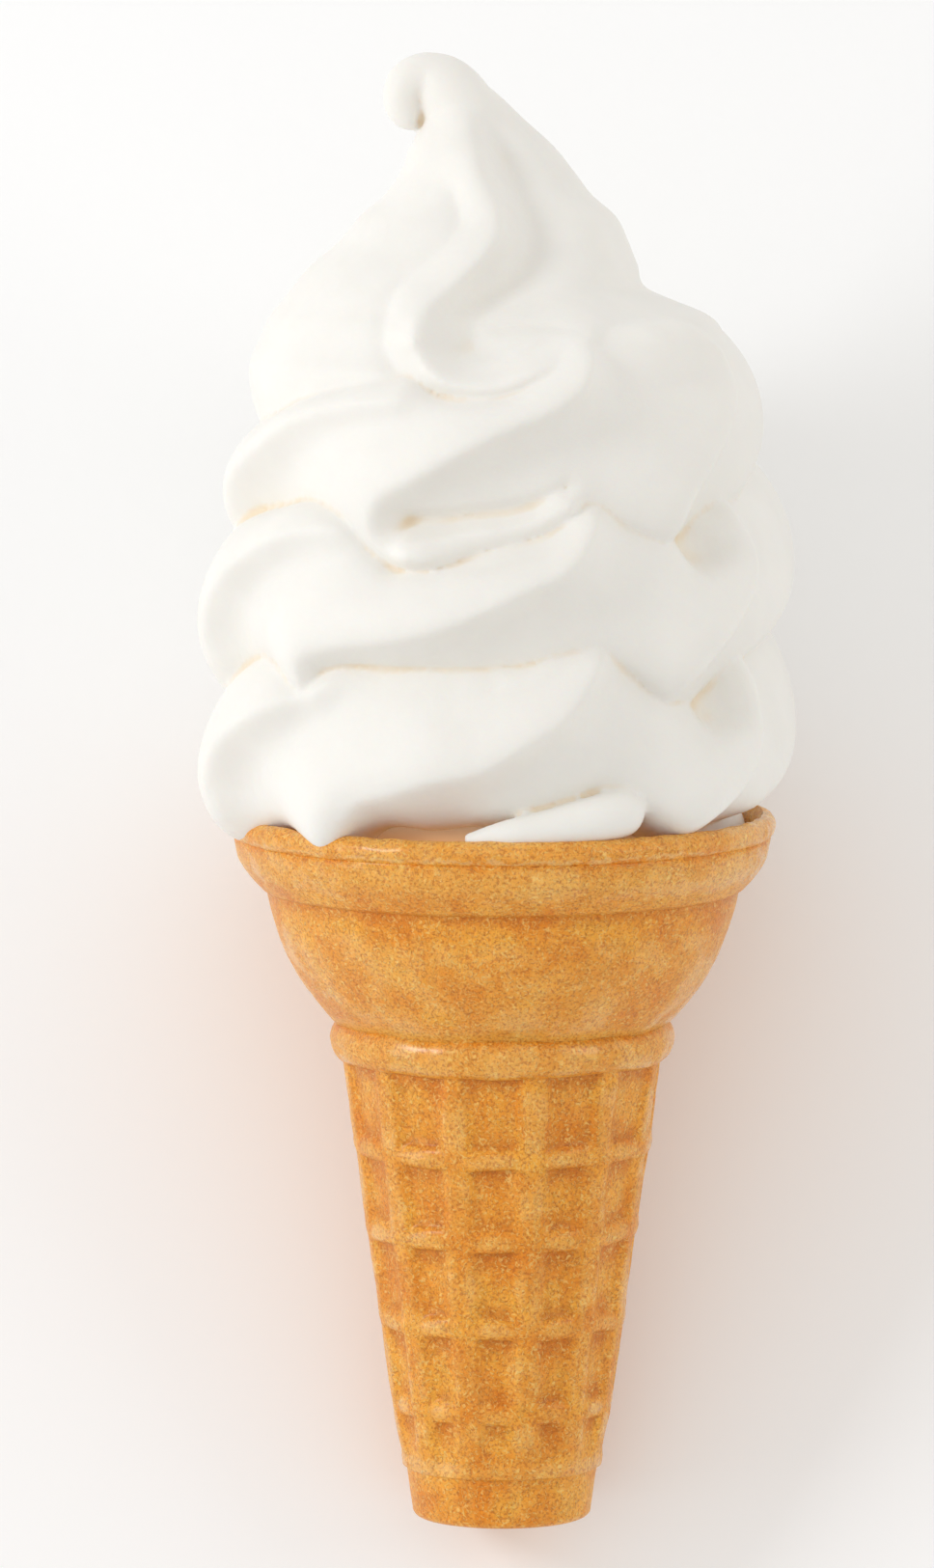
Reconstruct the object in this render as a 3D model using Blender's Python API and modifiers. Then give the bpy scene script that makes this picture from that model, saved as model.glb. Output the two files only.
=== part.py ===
import bpy
import math
import numpy as np
from mathutils import Matrix, Vector

# A soft serve cone that lies on its back, with the side that a customer sees facing up.
# It is drawn standing up, in millimetres, and laid down at the end.
# Standing: x runs to the right, y to the back, z up the axis of the cone.

MM = 0.001

# Wafer, outer side
BASE_BOTTOM_HEIGHT = -1.1
BASE_RADIUS = 10.4
BASE_ROUND = 0.9
BASE_TOP_HEIGHT = 4.6
LEDGE = 0.35
RING_HEIGHTS = (12.6, 22.6, 33.0, 42.5)
RING_RADII = (12.75, 14.25, 15.75, 17.1)
RING_HALF_HEIGHT = 1.5
RING_RISE = 0.85
BEAD_HEIGHT = 54.2
BEAD_RADIUS = 19.7
BEAD_HALF_HEIGHT = 2.4
BEAD_RISE = 1.8
BOWL_CENTRE_HEIGHT = 75.2
BOWL_CENTRE_OFFSET = 0.9
BOWL_ROUND = 26.3
BAND_FOOT_HEIGHT = 71.6
BAND_FOOT_RADIUS = 27.6
BAND_TOP_HEIGHT = 77.2
BAND_TOP_RADIUS = 30.6
LIP_RADIUS = 31.2
LIP_HEIGHT = 78.7
LIP_ROUND = 1.45

WAFER_STEPS = 48

# Wafer, inner side
WALL = 2.0
FLOOR_THICKNESS = 2.4
MOUTH_RADIUS = 28.9

# Upright ribs of the stem
RIB_COUNT = 12
RIB_WIDTH = 2.9
RIB_RISE = 0.75
RIB_FIRST_ANGLE = 11.5
RIB_FOOT_HEIGHT = 5.4

# Soft serve
SWIRL_OFFSET_X = -1.2
SWIRL_OFFSET_Y = 1.2
GAP = 0.35
ROPE_AROUND = 60
ROPE_PER_TURN = 140
PEAK_AROUND = 120
PEAK_LEVELS = 100
MELT_SIZE = 0.55
THIN_SHARE = 0.0223
ROPE_START = -0.78
ROPE_END = 3.12
ROPE_DEPTH = 10.5
ROPE_OVERLAP = 1.8
RIDGE_RISE = 5.6
RIDGE_LIT_WIDTH = 8.5
RIDGE_SHADED_WIDTH = 2.8
VIEW_DISTANCE = 1150.0
VIEW_HEIGHT = 212.0
VIEW_RIGHT = -4.06
ROLL_RADIUS = 32.0
CORE_RADIUS = 23.5

# The seam below each layer of the rope: angle round from the front and height
SEAM_AT_RIM = (
    (-90, 78.0), (-65, 80.0), (-53, 81.5), (-43, 80.0), (-38, 79.0), (-31, 82.0), (-14, 82.5),
    (-4, 83.0), (8, 83.0), (17, 84.5), (24, 86.0), (31, 84.5), (38, 82.0), (46, 80.0), (54, 81.0), (71, 82.0),
    (90, 82.0), (180, 86.5),
)
SEAM_LOW = (
    (-90, 92.5), (-73, 96.0), (-50, 98.5), (-42, 96.0), (-35, 98.5), (-21, 99.5), (-2, 98.5), (8, 98.5),
    (19, 99.5), (29, 100.0), (36, 98.0), (42, 95.5), (48, 94.0), (54, 96.0), (64, 99.0), (90, 102.0),
    (180, 107.0),
)
SEAM_MIDDLE = (
    (-90, 111.5), (-58, 114.0), (-45, 115.0), (-32, 113.5), (-24, 111.0), (-2, 111.5), (9, 112.5),
    (18, 114.5), (25, 115.5), (31, 114.5), (38, 113.5), (48, 112.5), (56, 113.5), (66, 116.0), (90, 119.0),
    (180, 121.5),
)
SEAM_HIGH = (
    (-90, 124.0), (-64, 125.0), (-49, 127.0), (-35, 128.5), (-20, 129.5), (-10, 129.5), (6, 130.0),
    (14, 132.0), (21, 133.5), (27, 134.0), (33, 134.5), (44, 135.0), (55, 135.0), (68, 135.0), (90, 135.0),
    (180, 135.5), (270, 135.0),
)
ROPE_OUTER_RADIUS = (
    (-0.8, 29.6),
    (-0.62, 30.2),
    (-0.5, 29.5),
    (-0.2, 31.5),
    (0.0, 35.7),
    (0.2, 34.5),
    (0.5, 35.2),
    (0.75, 36.3),
    (1.0, 35.7),
    (1.2, 34.5),
    (1.5, 35.0),
    (2.0, 31.6),
    (2.42, 32.6),
    (2.52, 31.2),
    (2.7, 30.0),
    (3.0, 27.4),
    (3.2, 24.0),
)

# Ridges as the photograph's viewer sees them, each from its top down: layer, share of the full rise,
# then how far right of the axis and how high each point shows
FRONT_RIDGES = (
    (2, 1.0, ((9.5, 135), (11, 132), (10, 129), (7, 126.5), (1, 124), (-4.5, 121.5), (-10, 118.5),
              (-14, 116.5), (-15.5, 114), (-15.5, 111.5), (-13.5, 109.5), (-10, 109))),
    (2, 1.0, ((22.5, 137), (24.5, 135.5), (26.5, 133), (27, 130.5), (27, 127), (25, 122), (22.5, 117),
              (21.5, 112.5))),
    (2, 1.0, ((-13.5, 127), (-20, 126.5), (-25.5, 125), (-29, 122), (-31.5, 118), (-32, 114))),
    (1, 1.0, ((10.5, 116), (11.5, 114), (10.5, 111), (7.5, 107.5), (3, 105.5), (-2.5, 103), (-8, 101),
              (-13.5, 100), (-19, 99.5), (-23, 98.5), (-24.5, 97), (-24.5, 94.5))),
    (1, 1.0, ((29.5, 116), (29.5, 112.5), (29.5, 107.5), (27.5, 103), (24.5, 98.5), (22, 95), (20.5, 92))),
    (1, 1.0, ((-19, 112.5), (-25.5, 112), (-30.5, 109.5), (-33.5, 105.5), (-34.5, 101), (-34.5, 97.5))),
    (0, 1.0, ((13, 100.5), (12, 97.5), (10, 94), (7, 90.5), (3, 88), (-2.5, 85), (-8, 84), (-13.5, 82.5),
              (-17.5, 81.5), (-20, 79), (-21.5, 77))),
    (0, 1.0, ((30, 97), (30, 92), (29.5, 87), (27.5, 82.5), (24.5, 79.5), (21.5, 77))),
    (0, 1.0, ((-24, 93.5), (-29.5, 91), (-33, 88), (-34.5, 84), (-34.5, 80))),
)
# Small rolls and creases: layer, rise in millimetres, width, then points as above
FRONT_FOLDS = (
    (2, 2.2, 1.8, ((-11, 110), (-8, 110), (-2.5, 111), (2, 111.5), (5.5, 112.5), (8, 114.5))),
    (2, -1.2, 1.0, ((-12, 113), (-8, 113), (-2.5, 113.5), (2, 114), (5.5, 115), (8.5, 116.5))),
    (2, -1.6, 1.1, ((-11.5, 129.5), (-10, 128), (-6.5, 127), (-2.5, 127), (1, 127.5), (3.5, 129), (6, 131))),
    (2, -0.6, 1.2, ((9, 134.5), (12, 133.5), (15, 133.5), (18, 134.5))),
    (1, -2.0, 2.2, ((25.5, 115), (26, 112.5), (26.5, 110))),
    (0, -2.0, 2.2, ((27, 97.5), (27.5, 95), (27.5, 92))),
    (1, -1.6, 1.4, ((-14, 108), (-8, 108.5), (-2.5, 108.5), (2, 109.5), (5.5, 110.5), (7.5, 112))),
    (0, 0.6, 0.7, ((0.5, 94.5), (4.5, 95), (7, 97), (9, 99))),
)
# Ridges out of sight: angle at the middle of the layer
BACK_RIDGES = (105, 150, 186, 228)
BACK_LEAN = ((20, 0.95), (14, 0.8), (0, 0.55), (-16, 0.3), (-34, 0.1))

# Peak: height, middle to the right, middle to the back, half width, half depth
PEAK = (
    (118.0, 0.5, 0.0, 22.0, 22.0),
    (124.0, -0.5, 0.0, 25.5, 24.5),
    (128.5, -1.0, 0.0, 26.5, 26.0),
    (131.5, -0.5, 0.0, 27.0, 26.5),
    (134.0, 0.0, 0.0, 26.5, 25.0),
    (137.0, -0.5, 0.0, 24.5, 23.0),
    (138.2, -1.5, 0.0, 22.5, 21.6),
    (139.5, -2.5, 0.0, 20.5, 20.3),
    (142.5, -2.0, 0.0, 18.5, 17.5),
    (145.0, -1.0, 0.0, 16.5, 15.5),
    (148.0, -0.5, 0.0, 14.5, 13.0),
    (150.5, -0.5, 0.0, 11.7, 11.0),
    (152.5, -0.5, 0.0, 10.2, 9.5),
    (156.0, -1.2, 0.0, 8.1, 7.5),
    (159.0, -2.0, 0.0, 5.6, 5.8),
    (161.5, -3.2, 0.0, 4.2, 4.2),
    (163.0, -4.0, 0.0, 3.2, 3.2),
)
# Folds of the peak: rise, width to the left or outside, width to the right or inside, then points
PEAK_FOLDS = (
    (3.6, 4.5, 2.2, ((-4, 158.5), (-3.5, 156.5), (-2.5, 152.5), (-1, 149), (-1, 146), (-2.5, 143.5),
                     (-5.5, 140.5), (-8, 138), (-9, 134.5))),
    (3.4, 2.4, 3.0, ((-9, 136), (-9, 133.5), (-8, 131), (-5.5, 129), (-1, 128.5), (3, 130), (6.5, 132),
                     (8.5, 134))),
    (-3.4, 6.0, 5.0, ((-1, 158), (2, 153), (4, 148.5), (4.5, 144.5), (2, 140.5), (-1.5, 137.5), (-3.5, 135.5),
                      (-4, 133.5))),
    (1.4, 1.4, 1.0, ((-3.5, 131), (-0.5, 131.5), (2, 133), (4.5, 134.5), (7.5, 135))),
    (-0.9, 0.8, 0.8, ((-0.5, 135), (1.5, 135.5), (4.5, 135.5), (8.5, 135))),
    (-1.4, 1.0, 1.0, ((-11, 129), (-9, 127), (-6.5, 126), (-2.5, 126), (1, 127), (4, 128.5), (6.5, 130.5))),
    (-0.7, 1.4, 1.4, ((-5.5, 150.5), (-5, 147), (-8, 143.5), (-11, 141), (-13, 138), (-13.5, 134),
                      (-12.5, 131))),
)
# Curl at the tip: right, back, height, radius
CURL = (
    (-2.0, 0.0, 153.0, 5.5),
    (-2.8, -0.5, 158.0, 4.6),
    (-5.0, -0.5, 162.2, 3.8),
    (-7.4, -0.2, 163.7, 2.9),
    (-9.4, -0.4, 163.0, 2.6),
    (-10.0, -0.6, 161.2, 2.4),
    (-9.4, -0.8, 159.8, 2.1),
    (-8.4, -1.0, 159.6, 1.6),
)
# Loose end of the rope that shows above the rim, the same way
END_ROLL = (
    (-3.0, -29.5, 79.8, 1.0),
    (1.5, -29.6, 80.7, 1.7),
    (6.5, -29.1, 81.4, 2.2),
    (11.0, -28.0, 82.2, 2.6),
    (14.2, -26.5, 82.8, 2.7),
    (15.6, -25.6, 83.0, 2.1),
    (16.4, -25.0, 83.0, 1.0),
)


def clear_scene():
    for thing in list(bpy.data.objects):
        bpy.data.objects.remove(thing, do_unlink=True)


def smooth_value(stations, at):
    """The value at a place between stations, on a smooth curve through all of them."""
    places = np.array([station[0] for station in stations], float)
    values = np.array([station[1:] for station in stations], float)
    slopes = np.empty_like(values)
    steps = np.diff(places)[:, None]
    rises = np.diff(values, axis=0) / steps
    slopes[0] = rises[0]
    slopes[-1] = rises[-1]
    slopes[1:-1] = (rises[:-1] * steps[1:] + rises[1:] * steps[:-1]) / (steps[1:] + steps[:-1])
    at = np.clip(np.asarray(at, float), places[0], places[-1])
    left = np.clip(np.searchsorted(places, at, side="right") - 1, 0, len(places) - 2)
    span = steps[left, 0]
    t = ((at - places[left]) / span)[..., None]
    span = span[..., None]
    start = values[left]
    end = values[left + 1]
    curve = (2 * t**3 - 3 * t**2 + 1) * start + (3 * t**2 - 2 * t**3) * end
    curve = curve + (t**3 - 2 * t**2 + t) * span * slopes[left]
    curve = curve + (t**3 - t**2) * span * slopes[left + 1]
    return curve[..., 0] if curve.shape[-1] == 1 else curve


def mesh_object(name, points, faces, collection):
    mesh = bpy.data.meshes.new(name)
    mesh.from_pydata([tuple(point) for point in np.asarray(points) * MM], [], faces)
    mesh.update()
    thing = bpy.data.objects.new(name, mesh)
    collection.objects.link(thing)
    return thing


def skin(rings):
    """Points and faces of a closed body through rings that have equal numbers of points."""
    rings = np.asarray(rings)
    count, around = rings.shape[:2]
    points = rings.reshape(-1, 3)
    faces = []
    for i in range(count - 1):
        for j in range(around):
            k = (j + 1) % around
            faces.append((i * around + j, i * around + k, (i + 1) * around + k, (i + 1) * around + j))
    faces.append(tuple(reversed(range(around))))
    faces.append(tuple((count - 1) * around + j for j in range(around)))
    return points, faces


def arc(centre_r, centre_z, round_r, round_z, start, end, count):
    """Profile points on an ellipse, from one angle to another, in degrees up from straight out."""
    angles = np.radians(np.linspace(start, end, count))
    return [(centre_r + round_r * math.cos(a), centre_z + round_z * math.sin(a)) for a in angles]


def stem_radius(height):
    """Outer radius of the flat panels, which step in a little above each ring."""
    if height <= BASE_TOP_HEIGHT:
        return BASE_RADIUS + 0.11 * height
    lower = (BASE_TOP_HEIGHT + 0.5, BASE_RADIUS + 0.11 * BASE_TOP_HEIGHT + LEDGE)
    for ring_height, ring_radius in zip(RING_HEIGHTS, RING_RADII):
        if height <= ring_height:
            upper = (ring_height, ring_radius - RING_RISE)
            share = (height - lower[0]) / (upper[0] - lower[0])
            return lower[1] + share * (upper[1] - lower[1])
        lower = (ring_height, ring_radius - RING_RISE + 0.1)
    upper = (BEAD_HEIGHT, BEAD_RADIUS - BEAD_RISE)
    share = (height - lower[0]) / (upper[0] - lower[0])
    return lower[1] + share * (upper[1] - lower[1])


def outer_profile():
    """Outer side of the wafer from the lip down to the middle of its foot."""
    profile = arc(LIP_RADIUS - LIP_ROUND, LIP_HEIGHT, LIP_ROUND, LIP_ROUND, 90, -60, 6)
    profile.append((BAND_TOP_RADIUS, BAND_TOP_HEIGHT))
    band_round = BAND_TOP_RADIUS - BAND_FOOT_RADIUS
    band_drop = BAND_TOP_HEIGHT - BAND_FOOT_HEIGHT
    for a in np.radians(np.linspace(-22, -82, 5)):
        out = BAND_FOOT_RADIUS + band_round * math.cos(a) ** 2.2
        profile.append((out, BAND_TOP_HEIGHT + band_drop * math.sin(a)))
    bowl_r = BOWL_CENTRE_OFFSET
    foot_angle = math.degrees(math.asin((BAND_FOOT_HEIGHT - 0.3 - BOWL_CENTRE_HEIGHT) / BOWL_ROUND))
    end_angle = -math.degrees(math.acos((19.0 - bowl_r) / BOWL_ROUND))
    profile += arc(bowl_r, BOWL_CENTRE_HEIGHT, BOWL_ROUND, BOWL_ROUND, foot_angle, end_angle, 8)
    bead_middle = BEAD_RADIUS - BEAD_RISE
    profile += arc(bead_middle, BEAD_HEIGHT, BEAD_RISE, BEAD_HALF_HEIGHT, 66, -90, 6)
    for ring_height, ring_radius in zip(reversed(RING_HEIGHTS), reversed(RING_RADII)):
        above = ring_height + RING_HALF_HEIGHT
        below = ring_height - RING_HALF_HEIGHT
        profile.append((stem_radius(above), above))
        profile += arc(ring_radius - RING_RISE, ring_height, RING_RISE, RING_HALF_HEIGHT, 55, -55, 3)
        profile.append((stem_radius(below), below))
    profile.append((stem_radius(BASE_TOP_HEIGHT + 0.5), BASE_TOP_HEIGHT + 0.5))
    profile.append((stem_radius(BASE_TOP_HEIGHT), BASE_TOP_HEIGHT))
    base_edge = stem_radius(BASE_BOTTOM_HEIGHT) - BASE_ROUND
    profile += arc(base_edge, BASE_BOTTOM_HEIGHT + BASE_ROUND, BASE_ROUND, BASE_ROUND, 0, -90, 4)
    profile.append((0.0, BASE_BOTTOM_HEIGHT))
    return profile


def inner_profile(inset):
    """Inner side of the wafer from the middle of its floor up to the mouth, moved in by inset."""
    floor = BASE_BOTTOM_HEIGHT + FLOOR_THICKNESS + inset
    profile = [(0.0, floor)]
    profile.append((stem_radius(floor) - WALL - inset - 0.6, floor))
    profile.append((stem_radius(floor + 0.8) - WALL - inset, floor + 0.8))
    for height in (22.0, 42.0, 52.0):
        profile.append((stem_radius(height) - WALL - inset - 0.4, height))
    bowl = BOWL_ROUND - WALL - inset
    start = -math.degrees(math.acos((17.5 - inset - BOWL_CENTRE_OFFSET) / bowl))
    profile += arc(BOWL_CENTRE_OFFSET, BOWL_CENTRE_HEIGHT, bowl, bowl, start, -14, 6)
    profile.append((MOUTH_RADIUS - 1.6 - inset, BAND_TOP_HEIGHT - 2.2))
    profile.append((MOUTH_RADIUS - inset, LIP_HEIGHT))
    return profile


def turned(name, profile, steps, collection):
    """A body turned round the axis from a profile."""
    points = [(r * MM, 0.0, z * MM) for r, z in profile]
    edges = [(i, i + 1) for i in range(len(points) - 1)]
    mesh = bpy.data.meshes.new(name)
    mesh.from_pydata(points, edges, [])
    thing = bpy.data.objects.new(name, mesh)
    collection.objects.link(thing)
    turn = thing.modifiers.new("turn", "SCREW")
    turn.axis = "Z"
    turn.angle = math.radians(360)
    turn.steps = steps
    turn.render_steps = steps
    turn.use_merge_vertices = True
    turn.merge_threshold = 0.00001
    turn.use_smooth_shade = False
    return thing


def rib(index, collection):
    """One upright rib, a bar with sloping sides that follows the stem."""
    angle = math.radians(RIB_FIRST_ANGLE + index * 360 / RIB_COUNT)
    outward = Vector((math.sin(angle), -math.cos(angle), 0.0))
    side = Vector((math.cos(angle), math.sin(angle), 0.0))
    rings = []
    for height in (RIB_FOOT_HEIGHT, *RING_HEIGHTS, BEAD_HEIGHT - 0.5):
        foot = stem_radius(height) - 1.0
        top = stem_radius(height) + RIB_RISE
        if height == RIB_FOOT_HEIGHT:
            top = stem_radius(height) + 0.15
        row = []
        sides = ((0.62, foot), (0.5, foot + 1.0), (0.28, top))
        for across, out in [(-across, out) for across, out in sides] + list(reversed(sides)):
            spot = outward * out + side * (across * RIB_WIDTH)
            row.append((spot.x, spot.y, height))
        rings.append(row)
    points, faces = skin(rings)
    return mesh_object("rib_%02d" % index, points, faces, collection)


def swirl_angle(turn):
    """Degrees round from the front, growing to the right, at a place along the rope in turns."""
    return 360.0 * turn - 90.0


def turn_at(layer, angle):
    return layer + (angle + 90.0) / 360.0


def seam_stations():
    """Turn and height of the seam that runs up round the swirl below the rope."""
    stations = [(-1.0, 74.5), (-0.5, 75.5), (-0.2, 76.6)]
    for layer, seam in enumerate((SEAM_AT_RIM, SEAM_LOW, SEAM_MIDDLE, SEAM_HIGH)):
        stations += [(turn_at(layer, angle), height) for angle, height in seam]
    return stations


def rope_middle(turns):
    """Height of the middle of the rope and half its height, with the overlap that presses layers together."""
    stations = seam_stations()
    low = smooth_value(stations, turns)
    high = smooth_value(stations, np.asarray(turns) + 1.0)
    return (low + high) / 2, (high - low) / 2 + ROPE_OVERLAP


def as_seen(x, y, z):
    """Where a point shows to the viewer, measured right of the axis and up in the plane through the axis."""
    nearer = VIEW_DISTANCE / (VIEW_DISTANCE + y)
    return VIEW_RIGHT + (x - VIEW_RIGHT) * nearer, VIEW_HEIGHT + (z - VIEW_HEIGHT) * nearer


def on_rope(path, layer):
    """A line that the viewer sees, as lengths round the rope of a layer and heights."""
    unrolled = []
    for right, up in path:
        turn = layer + 0.25
        for _ in range(6):
            radius = float(smooth_value(ROPE_OUTER_RADIUS, turn))
            angle = math.radians(swirl_angle(turn) - 360.0 * layer)
            nearer = VIEW_DISTANCE / (VIEW_DISTANCE - radius * math.cos(angle) + SWIRL_OFFSET_Y)
            x = VIEW_RIGHT + (right - VIEW_RIGHT) / nearer - SWIRL_OFFSET_X
            angle = math.asin(max(-1.0, min(1.0, x / radius)))
            turn = turn_at(layer, math.degrees(angle))
        unrolled.append((ROLL_RADIUS * angle, VIEW_HEIGHT + (up - VIEW_HEIGHT) / nearer))
    return unrolled


def line_distance(right, up, path):
    """Distance to a smooth line through points, and the side of it, from -1 on its right to 1 on its left."""
    stations = [(i, *point) for i, point in enumerate(path)]
    path = smooth_value(stations, np.linspace(0, len(path) - 1, 4 * len(path)))
    nearest = np.full_like(right, 1e9)
    side = np.zeros_like(right)
    for (x0, y0), (x1, y1) in zip(path[:-1], path[1:]):
        step_x = x1 - x0
        step_y = y1 - y0
        x = right - x0
        y = up - y0
        along = np.clip((x * step_x + y * step_y) / (step_x**2 + step_y**2), 0.0, 1.0)
        distance = np.hypot(x - along * step_x, y - along * step_y)
        aside = (step_x * y - step_y * x) / math.hypot(step_x, step_y) / np.maximum(distance, 1e-6)
        closer = distance < nearest
        nearest = np.where(closer, distance, nearest)
        side = np.where(closer, aside, side)
    return nearest, side


def ridge_shape(distance, side, lit_width, shaded_width):
    """Height of a ridge, 1 at its crest, that falls slowly on its right and steeply on its left."""
    share = (np.clip(side, -1.0, 1.0) + 1.0) / 2.0
    share = share * share * (3.0 - 2.0 * share)
    wide = lit_width + share * (shaded_width - lit_width)
    return 1.0 / (1.0 + (distance / wide) ** 1.8)


def rope_lift(turns, sections, middle, half):
    """How far ridges and folds lift the rope, in millimetres, at places along and round it."""
    height = middle + half * np.sin(sections)
    total = np.zeros_like(height)
    fine = np.zeros_like(height)
    for layer, share, path in FRONT_RIDGES:
        front = np.clip((turns - layer + 0.1) / 0.08, 0.0, 1.0)
        front = front * np.clip((layer + 0.6 - turns) / 0.08, 0.0, 1.0)
        along = ROLL_RADIUS * np.radians(swirl_angle(turns - layer))
        distance, side = line_distance(along, height, on_rope(path, layer))
        total += (front * share * ridge_shape(distance, side, RIDGE_LIT_WIDTH, RIDGE_SHADED_WIDTH)) ** 3
    for layer, rise, wide, path in FRONT_FOLDS:
        front = (turns > layer - 0.1) & (turns < layer + 0.6)
        along = ROLL_RADIUS * np.radians(swirl_angle(turns - layer))
        distance, side = line_distance(along, height, on_rope(path, layer))
        fine += front * rise / (1.0 + (distance / wide) ** 4)
    for layer in (-1, 0, 1, 2):
        along = ROLL_RADIUS * np.radians(swirl_angle(turns - layer))
        for angle in BACK_RIDGES:
            path = []
            for lean, share in BACK_LEAN:
                path.append((math.radians(angle + lean) * ROLL_RADIUS, math.asin(2 * share - 1) * 9.0))
            distance, side = line_distance(along, sections * 9.0, path)
            near = abs(turns - turn_at(layer, angle)) < 0.25
            total += (near * 0.95 * ridge_shape(distance, side, RIDGE_LIT_WIDTH, RIDGE_SHADED_WIDTH)) ** 3
    return RIDGE_RISE * total ** (1.0 / 3.0), fine


def rope_rings(around, per_turn):
    """Rings of points along the rope of soft serve that is laid round and round."""
    count = int((ROPE_END - ROPE_START) * per_turn)
    turns = np.linspace(ROPE_START, ROPE_END, count)
    middle, half = rope_middle(turns)
    outer = smooth_value(ROPE_OUTER_RADIUS, turns)
    section = np.radians(np.linspace(-180.0, 180.0, around, endpoint=False))
    start = np.sqrt(np.clip((turns - ROPE_START) / 0.03, 0.02, 1.0))
    finish = np.sqrt(np.clip((ROPE_END - turns) / 0.2, 0.02, 1.0))
    taper = (start * finish)[:, None]
    every_turn = np.repeat(turns[:, None], around, axis=1)
    every_section = np.repeat(section[None, :], count, axis=0)
    rise, fine = rope_lift(every_turn, every_section, middle[:, None], half[:, None])
    face = np.cos(every_section)
    full = np.sign(face) * np.abs(face) ** 0.8
    out = (outer - ROPE_DEPTH)[:, None] + taper * (ROPE_DEPTH - RIDGE_RISE) * full
    out = out + taper * (rise + fine) * np.sqrt(np.clip(face, 0.0, 1.0))
    height = middle[:, None] + taper * half[:, None] * np.sin(every_section)
    height = height + taper * 0.1 * rise * np.sin(every_section) * (face > 0.0)
    angle = np.radians(swirl_angle(turns))[:, None]
    return np.stack([out * np.sin(angle), -out * np.cos(angle), height], axis=2)


def peak_rings(around, levels):
    """Rings up the peak, with its folds."""
    heights = np.linspace(PEAK[0][0], PEAK[-1][0], levels)
    round_the = np.radians(np.linspace(-180.0, 180.0, around, endpoint=False))[None, :]
    x, y, half, depth = smooth_value(PEAK, heights).T[:, :, None]
    height = np.repeat(heights[:, None], around, axis=1)
    out_x = x + half * np.sin(round_the)
    out_y = y - depth * np.cos(round_the)
    right, up = as_seen(out_x + SWIRL_OFFSET_X, out_y + SWIRL_OFFSET_Y, height)
    raised = np.zeros_like(right)
    sunk = np.zeros_like(right)
    for rise, outside, inside, path in PEAK_FOLDS:
        distance, side = line_distance(right, up, path)
        fold = rise * ridge_shape(distance, side, outside, inside) ** 1.5
        raised += np.maximum(fold, 0.0) ** 3
        sunk += np.minimum(fold, 0.0)
    lift = raised ** (1.0 / 3.0) + sunk
    lift *= np.clip(np.cos(round_the) * 3.0, 0.0, 1.0) * np.clip((163.0 - height) / 8.0, 0.0, 1.0)
    return np.stack([out_x + lift * np.sin(round_the), out_y - lift * np.cos(round_the), height], axis=2)


def tube_rings(path, around):
    """Rings of a round tube through points with a radius each."""
    rings = []
    stations = [(i, *point) for i, point in enumerate(path)]
    path = smooth_value(stations, np.linspace(0, len(path) - 1, 8 * len(path)))
    points = [Vector(point[:3]) for point in path]
    side = Vector((0.0, 1.0, 0.0))
    for i, point in enumerate(points):
        ahead = points[min(i + 1, len(points) - 1)] - points[max(i - 1, 0)]
        across = side.cross(ahead).normalized()
        other = ahead.cross(across).normalized()
        ring = []
        for j in range(around):
            a = 2 * math.pi * j / around
            ring.append(point + (math.cos(a) * across + math.sin(a) * other) * float(path[i][3]))
        rings.append([tuple(spot) for spot in ring])
    return rings


def modifier(thing, name, kind, **settings):
    made = thing.modifiers.new(name, kind)
    for setting, value in settings.items():
        setattr(made, setting, value)
    return made


def boolean(thing, other, operation):
    modifier(thing, other.name, "BOOLEAN", operation=operation, solver="EXACT", object=other)


def put_away(thing, cutters):
    """Keeps a cutter or a helper out of the picture."""
    for collection in list(thing.users_collection):
        collection.objects.unlink(thing)
    cutters.objects.link(thing)
    thing.hide_render = True
    thing.display_type = "WIRE"


def floor_reach(profile, slope):
    """How far a profile reaches towards a floor that slopes away from the axis by this much."""
    return max(r * math.cos(slope) - z * math.sin(slope) for r, z in profile)


def lie_angle():
    """Slope of the axis above the floor when the foot and the rim both touch it."""
    foot = [spot for spot in outer_profile() if spot[1] < BASE_TOP_HEIGHT]
    rim = [spot for spot in outer_profile() if spot[1] > BAND_FOOT_HEIGHT]
    low = 0.0
    high = math.radians(45)
    for _ in range(50):
        slope = (low + high) / 2
        if floor_reach(rim, slope) > floor_reach(foot, slope):
            low = slope
        else:
            high = slope
    return slope


def swirl_shells():
    """The closed shells that melt together into the soft serve."""
    core = ((21.0, 78.0), (25.0, 84.0), (25.0, 100.0), (CORE_RADIUS, 118.0), (22.0, 129.0))
    count = 36
    angles = [2 * math.pi * i / count for i in range(count)]
    core_rings = []
    for radius, height in core:
        core_rings.append([(radius * math.cos(a), radius * math.sin(a), height) for a in angles])
    return (
        rope_rings(ROPE_AROUND, ROPE_PER_TURN),
        peak_rings(PEAK_AROUND, PEAK_LEVELS),
        tube_rings(CURL, 24),
        tube_rings(END_ROLL, 24),
        core_rings,
    )


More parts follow.
